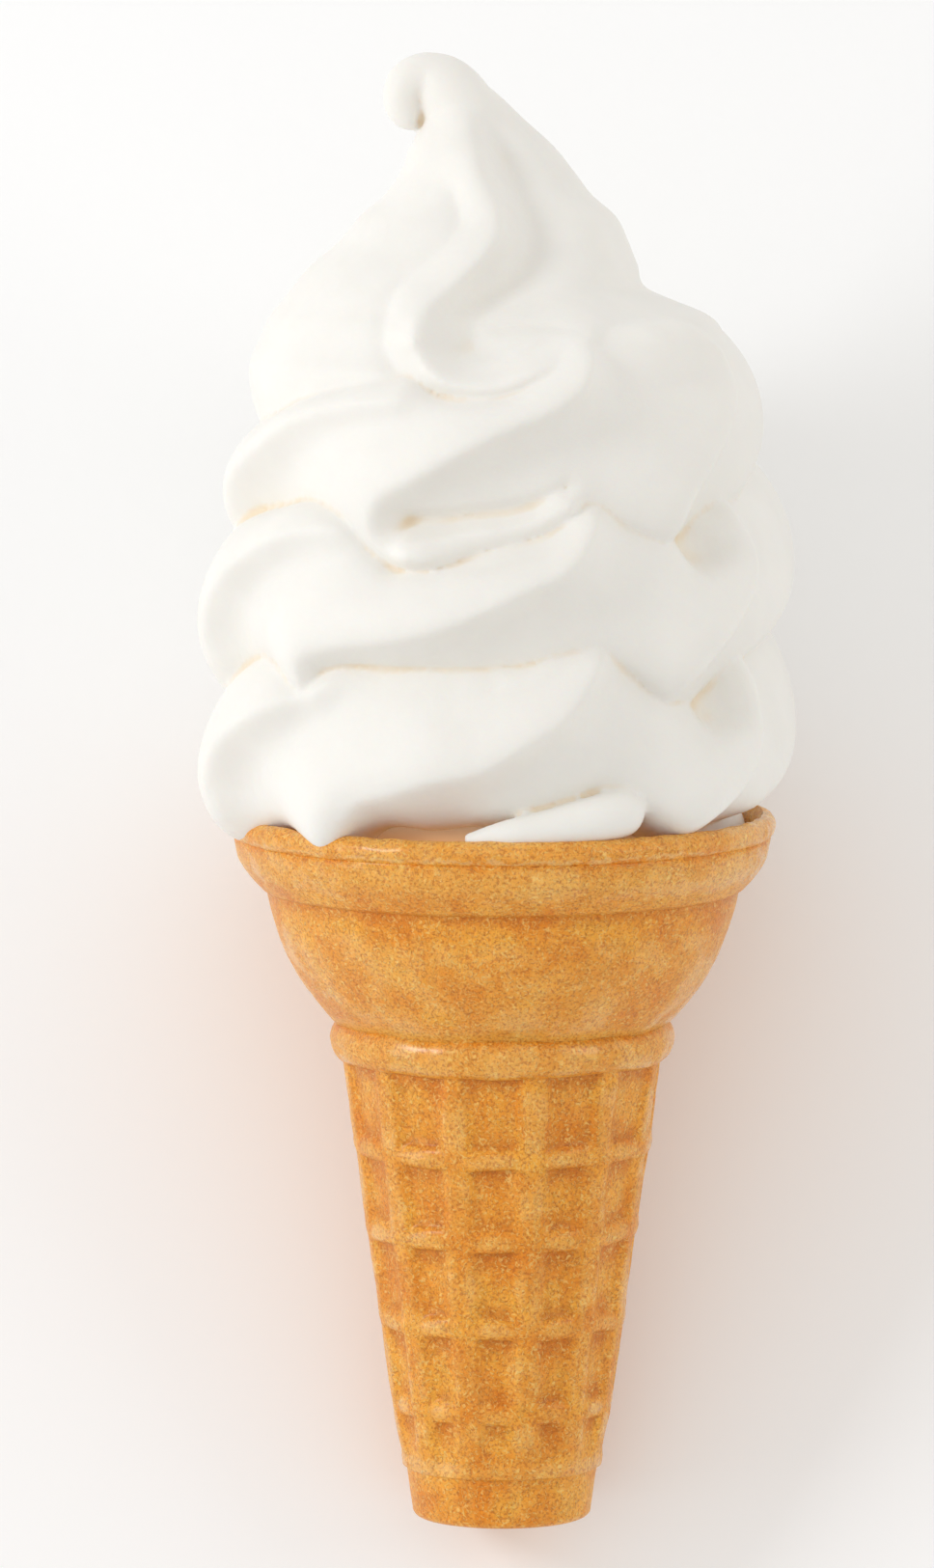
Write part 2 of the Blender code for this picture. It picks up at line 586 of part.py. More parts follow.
def soft_serve(scene, cutters):
    points = []
    faces = []
    for rings in swirl_shells():
        shell_points, shell_faces = skin(rings)
        first = len(points)
        points += [(p[0] + SWIRL_OFFSET_X, p[1] + SWIRL_OFFSET_Y, p[2]) for p in shell_points]
        faces += [tuple(first + corner for corner in face) for face in shell_faces]
    thing = mesh_object("soft_serve", points, faces, scene)
    modifier(thing, "melt", "REMESH", mode="VOXEL", voxel_size=MELT_SIZE * MM)
    modifier(thing, "soften", "SMOOTH", factor=0.5, iterations=4)
    modifier(thing, "thin", "DECIMATE", ratio=THIN_SHARE)
    filling = [spot for spot in inner_profile(GAP) if spot[1] < 76.5]
    filling += [(24.0, 78.0), (20.0, 84.0), (0.0, 84.0)]
    plug = turned("filling", filling[::-1], 32, scene)
    put_away(plug, cutters)
    boolean(thing, plug, "UNION")
    around_lip = [spot for spot in inner_profile(GAP) if spot[1] > 62.0]
    around_lip += arc(LIP_RADIUS - LIP_ROUND, LIP_HEIGHT, LIP_ROUND + GAP, LIP_ROUND + GAP, 100, -60, 7)
    around_lip += [(BAND_TOP_RADIUS + 0.8, BAND_TOP_HEIGHT - 1.0), (28.0, 62.0), around_lip[0]]
    clearance = turned("lip_clearance", around_lip, 72, scene)
    put_away(clearance, cutters)
    boolean(thing, clearance, "DIFFERENCE")
    slope = lie_angle()
    reach = floor_reach(outer_profile(), slope)
    bpy.ops.mesh.primitive_cube_add(size=1)
    floor = bpy.context.object
    floor.name = "floor_under_swirl"
    floor.data.transform(Matrix.Translation((0.0, 0.5, 0.0)))
    floor.data.transform(Matrix.Diagonal((0.12, 0.03, 0.5, 1.0)))
    floor.data.transform(Matrix.Translation((0.0, reach * MM, 0.0)))
    floor.data.transform(Matrix.Rotation(-slope, 4, "X"))
    put_away(floor, cutters)
    boolean(thing, floor, "DIFFERENCE")
    return thing


def colour(thing, name, base, roughness):
    material = bpy.data.materials.new(name)
    material.use_nodes = True
    shader = material.node_tree.nodes["Principled BSDF"]
    shader.inputs["Base Color"].default_value = (*base, 1.0)
    shader.inputs["Roughness"].default_value = roughness
    thing.data.materials.append(material)


def bounds(things):
    graph = bpy.context.evaluated_depsgraph_get()
    spots = []
    for thing in things:
        shown = thing.evaluated_get(graph)
        spots += [shown.matrix_world @ v.co for v in shown.data.vertices]
    spots = np.array(spots)
    return spots.min(axis=0), spots.max(axis=0)


def build():
    clear_scene()
    scene = bpy.data.collections.new("soft_serve_cone")
    cutters = bpy.data.collections.new("cutters")
    bpy.context.scene.collection.children.link(scene)
    bpy.context.scene.collection.children.link(cutters)
    wafer = turned("wafer_cone", inner_profile(0.0) + outer_profile(), WAFER_STEPS, scene)
    for index in range(RIB_COUNT):
        bar = rib(index, scene)
        put_away(bar, cutters)
        boolean(wafer, bar, "UNION")
    swirl = soft_serve(scene, cutters)
    colour(wafer, "wafer", (0.62, 0.30, 0.08), 0.6)
    colour(swirl, "soft_serve", (0.86, 0.84, 0.78), 0.35)
    stand = bpy.data.objects.new("laid_down", None)
    scene.objects.link(stand)
    for thing in list(bpy.data.objects):
        if thing != stand:
            thing.parent = stand
    turn = Matrix.Rotation(lie_angle() - math.pi / 2, 4, "X")
    stand.matrix_world = turn
    bpy.context.view_layer.update()
    low, high = bounds((wafer, swirl))
    middle = (low + high) / 2
    shift = Matrix.Translation((-middle[0], -middle[1], -low[2]))
    stand.matrix_world = shift @ turn
    bpy.context.view_layer.update()


if __name__ == "__main__":
    build()
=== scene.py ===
import math

import bpy
import numpy as np
from mathutils import Matrix, Vector
from mathutils.noise import noise as noise_at


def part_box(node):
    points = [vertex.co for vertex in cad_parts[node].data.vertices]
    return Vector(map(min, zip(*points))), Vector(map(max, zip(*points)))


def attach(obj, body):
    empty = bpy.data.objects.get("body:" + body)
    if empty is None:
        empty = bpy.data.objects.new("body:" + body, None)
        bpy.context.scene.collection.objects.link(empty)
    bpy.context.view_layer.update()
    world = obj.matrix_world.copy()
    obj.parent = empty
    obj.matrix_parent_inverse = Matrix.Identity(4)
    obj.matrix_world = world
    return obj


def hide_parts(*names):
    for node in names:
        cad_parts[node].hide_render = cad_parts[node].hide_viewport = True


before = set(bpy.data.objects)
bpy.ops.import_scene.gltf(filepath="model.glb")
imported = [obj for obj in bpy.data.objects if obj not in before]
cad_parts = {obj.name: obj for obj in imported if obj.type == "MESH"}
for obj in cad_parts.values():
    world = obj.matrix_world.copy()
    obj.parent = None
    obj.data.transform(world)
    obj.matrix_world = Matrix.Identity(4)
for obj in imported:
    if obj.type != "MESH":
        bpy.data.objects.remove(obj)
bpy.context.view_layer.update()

# A soft serve cone that lies on its back, seen from above as if it stood up.
# Wafer and soft serve are shaped standing, in millimetres, and then laid down where the frame has them.
# Standing: x runs to the right, y to the back, z up the axis of the cone.

MM = 0.001

# Wafer, outer side
BASE_BOTTOM_HEIGHT = -1.1
BASE_RADIUS = 10.4
BASE_ROUND = 0.9
BASE_TOP_HEIGHT = 4.6
FOOT_SLOPE = 0.11
LEDGE = 0.5
LEDGE_HEIGHT = 0.3
PANEL_STEP = 0.1
RING_HEIGHTS = (12.6, 22.6, 33.0, 42.5)
RING_RADII = (12.75, 14.25, 15.75, 17.1)
RING_HALF_HEIGHT = 1.5
RING_RISE = 0.85
BEAD_HEIGHT = 54.2
BEAD_RADIUS = 19.7
BEAD_HALF_HEIGHT = 2.4
BEAD_RISE = 1.8
BOWL_CENTRE_HEIGHT = 75.2
BOWL_CENTRE_OFFSET = 0.9
BOWL_ROUND = 26.3
BAND_FOOT_HEIGHT = 71.6
BAND_FOOT_RADIUS = 27.6
BAND_TOP_HEIGHT = 77.2
BAND_TOP_RADIUS = 30.6
BAND_HOLLOW = 2.2
NECK_RADIUS = 19.0
LIP_RADIUS = 31.2
LIP_HEIGHT = 78.7
LIP_ROUND = 1.45

# Wafer, inner side
WALL = 2.0
STEM_WALL_EXTRA = 0.4
FLOOR_THICKNESS = 2.4
FLOOR_ROUND_WIDTH = 0.6
FLOOR_ROUND_HEIGHT = 0.8
INNER_HEIGHTS = (22.0, 42.0, 52.0)
INNER_NECK_RADIUS = 17.5
INNER_BAND_STEP = 1.6
INNER_BAND_DROP = 2.2
MOUTH_RADIUS = 28.9

# Upright ribs of the stem
RIB_COUNT = 12
RIB_WIDTH = 3.3
RIB_RISE = 0.85
PANEL_INSET = 0.15
RIB_FIRST_ANGLE = 11.5
RIB_FOOT_HEIGHT = 5.4
RIB_FADE = 5.0
RIB_BLEND = 0.18
RIB_SINK = 0.05

# What baking leaves uneven: how far apart the waves are, and their rise, or the ribs' share of their width
STEM_WAVES = ((7.0, 0.16), (2.2, 0.06))
RIB_WAVE = (5.0, 0.25)
RING_SAG = (6.0, 0.35)
RING_SAG_HEIGHTS = (8.0, 60.0)
LIP_WAVE = (2.5, 0.28)

# How finely the wafer is moulded
WAFER_AROUND = 288
WAFER_STEP = 0.9
WAFER_FINE = 3

# Soft serve
SWIRL_OFFSET_X = -1.2
SWIRL_OFFSET_Y = 1.2
GAP = 0.35
ROPE_AROUND = 100
ROPE_PER_TURN = 220
PEAK_AROUND = 220
PEAK_LEVELS = 200
MELT_SIZE = 0.38
THIN_SHARE = 0.47
ROPE_START = -0.78
ROPE_END = 3.12
ROPE_DEPTH = 10.5
ROPE_OVERLAP = 1.8
RIDGE_RISE = 5.6
RIDGE_LIT_WIDTH = 8.5
RIDGE_SHADED_WIDTH = 2.8
VIEW_DISTANCE = 1150.0
VIEW_HEIGHT = 212.0
VIEW_RIGHT = -4.06
ROLL_RADIUS = 32.0
FRONT_FROM = 0.1
FRONT_TO = 0.6
FRONT_FADE = 0.08
BACK_SHARE = 0.95
BACK_REACH = 0.25
BACK_HALF_HEIGHT = 9.0
START_TAPER = 0.03
END_TAPER = 0.2

# Inside of the swirl and top of the filling: radius and height
CORE = ((21.0, 78.0), (25.0, 84.0), (25.0, 100.0), (23.5, 118.0), (22.0, 129.0))
FILLING_TOP = ((27.6, 77.4), (25.0, 78.4), (20.0, 84.0))
FILLING_WALL_TOP = 76.5
FILLING_AROUND = 64

# The seam below the rope ahead of the rim: turn and height
SEAM_START = ((-1.0, 74.5), (-0.5, 75.5), (-0.2, 76.6))
# The seam below each layer of the rope: angle round from the front and height
SEAM_AT_RIM = (
    (-90, 78.0), (-65, 80.0), (-53, 81.5), (-43, 80.0), (-38, 79.0), (-31, 82.0), (-14, 82.5),
    (-4, 83.0), (8, 83.0), (17, 84.5), (24, 86.0), (31, 84.5), (38, 82.0), (46, 80.0), (54, 81.0), (71, 82.0),
    (90, 82.0), (180, 86.5),
)
SEAM_LOW = (
    (-90, 92.5), (-73, 96.0), (-50, 98.5), (-42, 96.0), (-35, 98.5), (-21, 99.5), (-2, 98.5), (8, 98.5),
    (19, 99.5), (29, 100.0), (36, 98.0), (42, 95.5), (48, 94.0), (54, 96.0), (64, 99.0), (90, 102.0),
    (180, 107.0),
)
SEAM_MIDDLE = (
    (-90, 111.5), (-58, 114.0), (-45, 115.0), (-32, 113.5), (-24, 111.0), (-2, 111.5), (9, 112.5),
    (18, 114.5), (25, 115.5), (31, 114.5), (38, 113.5), (48, 112.5), (56, 113.5), (66, 116.0), (90, 119.0),
    (180, 121.5),
)
SEAM_HIGH = (
    (-90, 124.0), (-64, 125.0), (-49, 127.0), (-35, 128.5), (-20, 129.5), (-10, 129.5), (6, 130.0),
    (14, 132.0), (21, 133.5), (27, 134.0), (33, 134.5), (44, 135.0), (55, 135.0), (68, 135.0), (90, 135.0),
    (180, 135.5), (270, 135.0),
)
# Outer radius of the rope, before its ridges, at a place along it in turns
ROPE_OUTER_RADIUS = (
    (-0.8, 29.6),
    (-0.62, 30.2),
    (-0.5, 29.5),
    (-0.2, 31.5),
    (0.0, 35.7),
    (0.2, 34.5),
    (0.5, 35.2),
    (0.75, 36.3),
    (1.0, 35.7),
    (1.2, 34.5),
    (1.5, 35.0),
    (2.0, 31.6),
    (2.42, 32.6),
    (2.52, 31.2),
    (2.7, 30.0),
    (3.0, 27.4),
    (3.2, 24.0),
)

# Ridges as the viewer sees them, each from its top down: layer, then how far right of the axis and how high
# each point shows
FRONT_RIDGES = (
    (2, ((9.5, 135), (11, 132), (10, 129), (7, 126.5), (1, 124), (-4.5, 121.5), (-10, 118.5),
              (-14, 116.5), (-15.5, 114), (-15.5, 111.5), (-13.5, 109.5), (-10, 109))),
    (2, ((22.5, 137), (24.5, 135.5), (26.5, 133), (27, 130.5), (27, 127), (25, 122), (22.5, 117),
              (21.5, 112.5))),
    (2, ((-13.5, 127), (-20, 126.5), (-25.5, 125), (-29, 122), (-31.5, 118), (-32, 114))),
    (1, ((10.5, 116), (11.5, 114), (10.5, 111), (7.5, 107.5), (3, 105.5), (-2.5, 103), (-8, 101),
              (-13.5, 100), (-19, 99.5), (-23, 98.5), (-24.5, 97), (-24.5, 94.5))),
    (1, ((29.5, 116), (29.5, 112.5), (29.5, 107.5), (27.5, 103), (24.5, 98.5), (22, 95), (20.5, 92))),
    (1, ((-19, 112.5), (-25.5, 112), (-30.5, 109.5), (-33.5, 105.5), (-34.5, 101), (-34.5, 97.5))),
    (0, ((13, 100.5), (12, 97.5), (10, 94), (7, 90.5), (3, 88), (-2.5, 85), (-8, 84), (-13.5, 82.5),
              (-17.5, 81.5), (-20, 79), (-21.5, 77))),
    (0, ((30, 97), (30, 92), (29.5, 87), (27.5, 82.5), (24.5, 79.5), (21.5, 77))),
    (0, ((-24, 93.5), (-29.5, 91), (-33, 88), (-34.5, 84), (-34.5, 80))),
)
# Small rolls and creases: layer, rise in millimetres, width, then points as above
FRONT_FOLDS = (
    (2, 2.2, 1.8, ((-11, 110), (-8, 110), (-2.5, 111), (2, 111.5), (5.5, 112.5), (8, 114.5))),
    (2, -1.2, 1.0, ((-12, 113), (-8, 113), (-2.5, 113.5), (2, 114), (5.5, 115), (8.5, 116.5))),
    (2, -1.6, 1.1, ((-11.5, 129.5), (-10, 128), (-6.5, 127), (-2.5, 127), (1, 127.5), (3.5, 129), (6, 131))),
    (2, -3.0, 2.4, ((11.5, 136), (14, 136.5), (17, 136.5))),
    (1, -4.0, 2.4, ((25.5, 114), (26, 112), (26.5, 109.5))),
    (0, -4.0, 2.4, ((27, 97), (27.5, 94.5), (27.5, 91.5))),
    (1, -1.6, 1.4, ((-14, 108), (-8, 108.5), (-2.5, 108.5), (2, 109.5), (5.5, 110.5), (7.5, 112))),
    (0, 0.6, 0.7, ((0.5, 94.5), (4.5, 95), (7, 97), (9, 99))),
)
# Ridges out of sight: angle at the middle of the layer, and how far each leans at shares of its height
BACK_RIDGES = (105, 150, 186, 228)
BACK_LEAN = ((20, 0.95), (14, 0.8), (0, 0.55), (-16, 0.3), (-34, 0.1))

# Peak: height, middle to the right, middle to the back, half width, half depth
PEAK = (
    (118.0, 0.5, 0.0, 22.0, 22.0),
    (124.0, -0.5, 0.0, 25.5, 24.5),
    (128.5, -1.0, 0.0, 26.5, 26.0),
    (131.5, -0.5, 0.0, 27.0, 26.5),
    (134.0, 0.0, 0.0, 26.5, 25.0),
    (137.0, -0.5, 0.0, 24.5, 23.0),
    (138.2, -1.5, 0.0, 22.5, 21.6),
    (139.5, -2.5, 0.0, 20.5, 20.3),
    (142.5, -2.0, 0.0, 18.5, 17.5),
    (145.0, -1.0, 0.0, 16.5, 15.5),
    (148.0, -0.5, 0.0, 14.5, 13.0),
    (150.5, -0.5, 0.0, 11.7, 11.0),
    (152.5, -0.5, 0.0, 10.2, 9.5),
    (156.0, -1.2, 0.0, 8.1, 7.5),
    (159.0, -2.0, 0.0, 5.6, 5.8),
    (161.5, -3.2, 0.0, 4.2, 4.2),
    (163.0, -4.0, 0.0, 3.2, 3.2),
)
PEAK_FADE = 8.0
# Folds of the peak: rise, width on the right and on the left as the line runs, then points
PEAK_FOLDS = (
    (3.6, 4.5, 2.2, ((-4, 158.5), (-3.5, 156.5), (-2.5, 152.5), (-1, 149), (-1, 146), (-2.5, 143.5),
                     (-5.5, 140.5), (-8, 138), (-9, 134.5))),
    (3.4, 2.4, 3.0, ((-9, 136), (-9, 133.5), (-8, 131), (-5.5, 129), (-1, 128.5), (3, 130), (6.5, 132),
                     (8.5, 134))),
    (-3.4, 6.0, 5.0, ((-1, 158), (2, 153), (4, 148.5), (4.5, 144.5), (2, 140.5), (-1.5, 137.5), (-3.5, 135.5),
                      (-4, 133.5))),
    (1.4, 1.4, 1.0, ((-3.5, 131), (-0.5, 131.5), (2, 133), (4.5, 134.5), (7.5, 135))),
    (-0.9, 0.8, 0.8, ((-0.5, 135), (1.5, 135.5), (4.5, 135.5), (8.5, 135))),
    (-1.4, 1.0, 1.0, ((-11, 129), (-9, 127), (-6.5, 126), (-2.5, 126), (1, 127), (4, 128.5), (6.5, 130.5))),
    (-0.7, 1.4, 1.4, ((-5.5, 150.5), (-5, 147), (-8, 143.5), (-11, 141), (-13, 138), (-13.5, 134),
                      (-12.5, 131))),
)
# Curl at the tip: right, back, height, radius
CURL = (
    (-2.0, 0.0, 153.0, 5.5),
    (-2.8, -0.5, 158.0, 4.6),
    (-5.0, -0.5, 162.2, 3.8),
    (-7.4, -0.2, 163.7, 2.9),
    (-9.4, -0.4, 163.0, 2.6),
    (-10.0, -0.6, 161.2, 2.4),
    (-9.4, -0.8, 159.8, 2.1),
    (-8.4, -1.0, 159.6, 1.6),
)
# Loose end of the rope that shows above the rim, the same way
END_ROLL = (
    (-3.0, -29.5, 79.8, 1.0),
    (1.5, -29.6, 80.7, 1.7),
    (6.5, -29.1, 81.4, 2.2),
    (11.0, -28.0, 82.2, 2.6),
    (14.2, -26.5, 82.8, 2.7),
    (15.6, -25.6, 83.0, 2.1),
    (16.4, -25.0, 83.0, 1.0),
)

# Camera, standing in front of the cone as if the cone stood too
CAMERA_PLACE = (-4.06, -1150.0, 212.0)
CAMERA_AIM = (-4.06, 0.0, 83.3)
CAMERA_LENS = 233.0

# Lights: place, side of the square, watts and tint
LAMPS = {
    "key_light": ((-900.0, -560.0, 520.0), 300.0, 3.5, (0.92, 0.95, 1.0)),
    "left_light": ((-1000.0, -300.0, 0.0), 500.0, 1.3, (1.0, 1.0, 1.0)),
    "right_light": ((900.0, -500.0, 400.0), 500.0, 1.3, (1.0, 1.0, 1.0)),
}
LAMP_AIM = (0.0, 0.0, 90.0)
SKY_STRENGTH = 0.77
SKY_TINT = (1.0, 0.988, 0.965, 1.0)


def start_fresh():
    """Leaves nothing selected, so that the next tool works on its own piece alone."""
    if bpy.context.mode != "OBJECT":
        bpy.ops.object.mode_set(mode="OBJECT")
    bpy.ops.object.select_all(action="DESELECT")


def pick(thing):
    start_fresh()
    thing.select_set(True)
    bpy.context.view_layer.objects.active = thing


def use_modifier(thing, kind, **settings):
    pick(thing)
    made = thing.modifiers.new(kind.title(), kind)
    for setting, value in settings.items():
        setattr(made, setting, value)
    bpy.ops.object.modifier_apply(modifier=made.name)


def smooth_value(stations, at):
    """The value at a place between stations, on a smooth curve through all of them."""
    places = np.array([station[0] for station in stations], float)
    values = np.array([station[1:] for station in stations], float)
    slopes = np.empty_like(values)
    steps = np.diff(places)[:, None]
    rises = np.diff(values, axis=0) / steps
    slopes[0] = rises[0]
    slopes[-1] = rises[-1]
    slopes[1:-1] = (rises[:-1] * steps[1:] + rises[1:] * steps[:-1]) / (steps[1:] + steps[:-1])
    at = np.clip(np.asarray(at, float), places[0], places[-1])
    left = np.clip(np.searchsorted(places, at, side="right") - 1, 0, len(places) - 2)
    span = steps[left, 0]
    t = ((at - places[left]) / span)[..., None]
    span = span[..., None]
    start = values[left]
    end = values[left + 1]
    curve = (2 * t**3 - 3 * t**2 + 1) * start + (3 * t**2 - 2 * t**3) * end
    curve = curve + (t**3 - 2 * t**2 + t) * span * slopes[left]
    curve = curve + (t**3 - t**2) * span * slopes[left + 1]
    return curve[..., 0] if curve.shape[-1] == 1 else curve


def skin(rings):
    """Points and faces of a closed body through rings that have equal numbers of points."""
    rings = np.asarray(rings)
    count, around = rings.shape[:2]
    points = rings.reshape(-1, 3)
    faces = []
    for i in range(count - 1):
        for j in range(around):
            k = (j + 1) % around
            faces.append((i * around + j, i * around + k, (i + 1) * around + k, (i + 1) * around + j))
    faces.append(tuple(reversed(range(around))))
    faces.append(tuple((count - 1) * around + j for j in range(around)))
    return points, faces


def arc(centre_r, centre_z, round_r, round_z, start, end, count):
    """Profile points on an ellipse, from one angle to another, in degrees up from straight out."""
    angles = np.radians(np.linspace(start, end, count))
    return [(centre_r + round_r * math.cos(a), centre_z + round_z * math.sin(a)) for a in angles]


def stem_radius(height):
    """Outer radius of the flat panels, which step out a little above each ring."""
    if height <= BASE_TOP_HEIGHT:
        return BASE_RADIUS + FOOT_SLOPE * height
    lower = (BASE_TOP_HEIGHT + LEDGE_HEIGHT, BASE_RADIUS + FOOT_SLOPE * BASE_TOP_HEIGHT + LEDGE)
    for ring_height, ring_radius in zip(RING_HEIGHTS, RING_RADII):
        if height <= ring_height:
            upper = (ring_height, ring_radius - RING_RISE)
            share = (height - lower[0]) / (upper[0] - lower[0])
            return lower[1] + share * (upper[1] - lower[1])
        lower = (ring_height, ring_radius - RING_RISE + PANEL_STEP)
    upper = (BEAD_HEIGHT, BEAD_RADIUS - BEAD_RISE)
    share = (height - lower[0]) / (upper[0] - lower[0])
    return lower[1] + share * (upper[1] - lower[1])


def outer_profile(fine):
    """Outer side of the wafer from the lip down to the middle of its foot."""
    profile = arc(LIP_RADIUS - LIP_ROUND, LIP_HEIGHT, LIP_ROUND, LIP_ROUND, 90, -60, 6 * fine)
    profile.append((BAND_TOP_RADIUS, BAND_TOP_HEIGHT))
    band_round = BAND_TOP_RADIUS - BAND_FOOT_RADIUS
    band_drop = BAND_TOP_HEIGHT - BAND_FOOT_HEIGHT
    for a in np.radians(np.linspace(-22, -82, 4 * fine)):
        out = BAND_FOOT_RADIUS + band_round * math.cos(a) ** BAND_HOLLOW
        profile.append((out, BAND_TOP_HEIGHT + band_drop * math.sin(a)))
    bowl_r = BOWL_CENTRE_OFFSET
    foot_angle = math.degrees(math.asin((BAND_FOOT_HEIGHT - 0.3 - BOWL_CENTRE_HEIGHT) / BOWL_ROUND))
    end_angle = -math.degrees(math.acos((NECK_RADIUS - bowl_r) / BOWL_ROUND))
    profile += arc(bowl_r, BOWL_CENTRE_HEIGHT, BOWL_ROUND, BOWL_ROUND, foot_angle, end_angle, 8 * fine)
    bead_middle = BEAD_RADIUS - BEAD_RISE
    profile += arc(bead_middle, BEAD_HEIGHT, BEAD_RISE, BEAD_HALF_HEIGHT, 66, -90, 6 * fine)
    for ring_height, ring_radius in zip(reversed(RING_HEIGHTS), reversed(RING_RADII)):
        above = ring_height + RING_HALF_HEIGHT
        below = ring_height - RING_HALF_HEIGHT
        profile.append((stem_radius(above), above))
        profile += arc(ring_radius - RING_RISE, ring_height, RING_RISE, RING_HALF_HEIGHT, 55, -55, 3 * fine)
        profile.append((stem_radius(below), below))
    ledge_top = BASE_TOP_HEIGHT + LEDGE_HEIGHT
    profile.append((stem_radius(ledge_top), ledge_top))
    profile.append((stem_radius(BASE_TOP_HEIGHT), BASE_TOP_HEIGHT))
    base_edge = stem_radius(BASE_BOTTOM_HEIGHT) - BASE_ROUND
    profile += arc(base_edge, BASE_BOTTOM_HEIGHT + BASE_ROUND, BASE_ROUND, BASE_ROUND, 0, -90, 4 * fine)
    profile.append((0.0, BASE_BOTTOM_HEIGHT))
    return profile


def inner_profile(inset):
    """Inner side of the wafer from the middle of its floor up to the mouth, moved in by inset."""
    floor = BASE_BOTTOM_HEIGHT + FLOOR_THICKNESS + inset
    profile = [(0.0, floor)]
    profile.append((stem_radius(floor) - WALL - inset - FLOOR_ROUND_WIDTH, floor))
    floor_edge = floor + FLOOR_ROUND_HEIGHT
    profile.append((stem_radius(floor_edge) - WALL - inset, floor_edge))
    for height in INNER_HEIGHTS:
        profile.append((stem_radius(height) - WALL - inset - STEM_WALL_EXTRA, height))
    bowl = BOWL_ROUND - WALL - inset
    start = -math.degrees(math.acos((INNER_NECK_RADIUS - inset - BOWL_CENTRE_OFFSET) / bowl))
    profile += arc(BOWL_CENTRE_OFFSET, BOWL_CENTRE_HEIGHT, bowl, bowl, start, -14, 6)
    profile.append((MOUTH_RADIUS - INNER_BAND_STEP - inset, BAND_TOP_HEIGHT - INNER_BAND_DROP))
    profile.append((MOUTH_RADIUS - inset, LIP_HEIGHT))
    return profile


def even_steps(profile, longest):
    """The same profile with points added, so that no step is longer than this."""
    finer = [profile[0]]
    for start, end in zip(profile[:-1], profile[1:]):
        length = math.dist(start, end)
        if length < 0.02:
            continue
        count = max(1, math.ceil(length / longest))
        for i in range(1, count + 1):
            share = i / count
            finer.append((start[0] + share * (end[0] - start[0]), start[1] + share * (end[1] - start[1])))
    return finer


def floor_reach(profile, slope):
    """How far a profile reaches towards a floor that slopes away from the axis by this much."""
    return max(r * math.cos(slope) - z * math.sin(slope) for r, z in profile)


def lie_angle():
    """Slope of the axis above the floor when the foot and the rim both touch it."""
    foot = [spot for spot in outer_profile(1) if spot[1] < BASE_TOP_HEIGHT]
    rim = [spot for spot in outer_profile(1) if spot[1] > BAND_FOOT_HEIGHT]
    low = 0.0
    high = math.radians(45)
    for _ in range(50):
        slope = (low + high) / 2
        if floor_reach(rim, slope) > floor_reach(foot, slope):
            low = slope
        else:
            high = slope
    return slope


def laid_down():
    """The turn and shift that take the standing cone, in metres, to its place in the frame."""
    turn = Matrix.Rotation(lie_angle() - math.pi / 2, 4, "X")
    spots = [turn @ Vector((0.0, side * r * MM, z * MM)) for r, z in outer_profile(1) for side in (-1, 1)]
    low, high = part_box("wafer_cone")
    return Matrix.Translation(
        (
            (low[0] + high[0]) / 2,
            low[1] - min(spot.y for spot in spots),
            low[2] - min(spot.z for spot in spots),
        )
    ) @ turn


def lay_down(thing, laid):
    """Lays a finished piece down and leaves its object unturned at the origin."""
    pick(thing)
    thing.matrix_world = laid
    bpy.ops.object.transform_apply(location=True, rotation=True, scale=True)


def mark_relief(mesh, reach, deep):
    """Keeps three shares from 0 to 1 on every point of a mesh.

    They say how deep it lies in a crease, how far it stands up and how deep it lies in a wide hollow.
    """
    wide_reach = 6 * reach
    count = len(mesh.vertices)
    spots = np.empty(count * 3)
    normals = np.empty(count * 3)
    mesh.vertices.foreach_get("co", spots)
    mesh.vertices.foreach_get("normal", normals)
    spots = spots.reshape(-1, 3) / MM
    normals = normals.reshape(-1, 3)
    ends = np.empty(len(mesh.edges) * 2, int)
    mesh.edges.foreach_get("vertices", ends)
    ends = ends.reshape(-1, 2)
    links = np.bincount(ends.ravel(), minlength=count)[:, None]
    flat = spots.copy()
    depths = {}
    for step in range(1, wide_reach + 1):
        total = np.zeros_like(flat)
        for axis in range(3):
            total[:, axis] += np.bincount(ends[:, 0], weights=flat[ends[:, 1], axis], minlength=count)
            total[:, axis] += np.bincount(ends[:, 1], weights=flat[ends[:, 0], axis], minlength=count)
        flat = total / links
        if step in (reach, wide_reach):
            depths[step] = ((flat - spots) * normals).sum(axis=1)
    for name, depth in (
        ("crease", depths[reach] / deep),
        ("raised", -depths[reach] / deep),
        ("hollow", depths[wide_reach] / (4 * deep)),
    ):
        for _ in range(2):
            around = np.bincount(ends[:, 0], weights=depth[ends[:, 1]], minlength=count)
            around += np.bincount(ends[:, 1], weights=depth[ends[:, 0]], minlength=count)
            depth = around / links[:, 0]
        layer = mesh.attributes.new(name, "FLOAT", "POINT")
        layer.data.foreach_set("value", np.clip(depth, 0.0, 1.0))


# Wafer


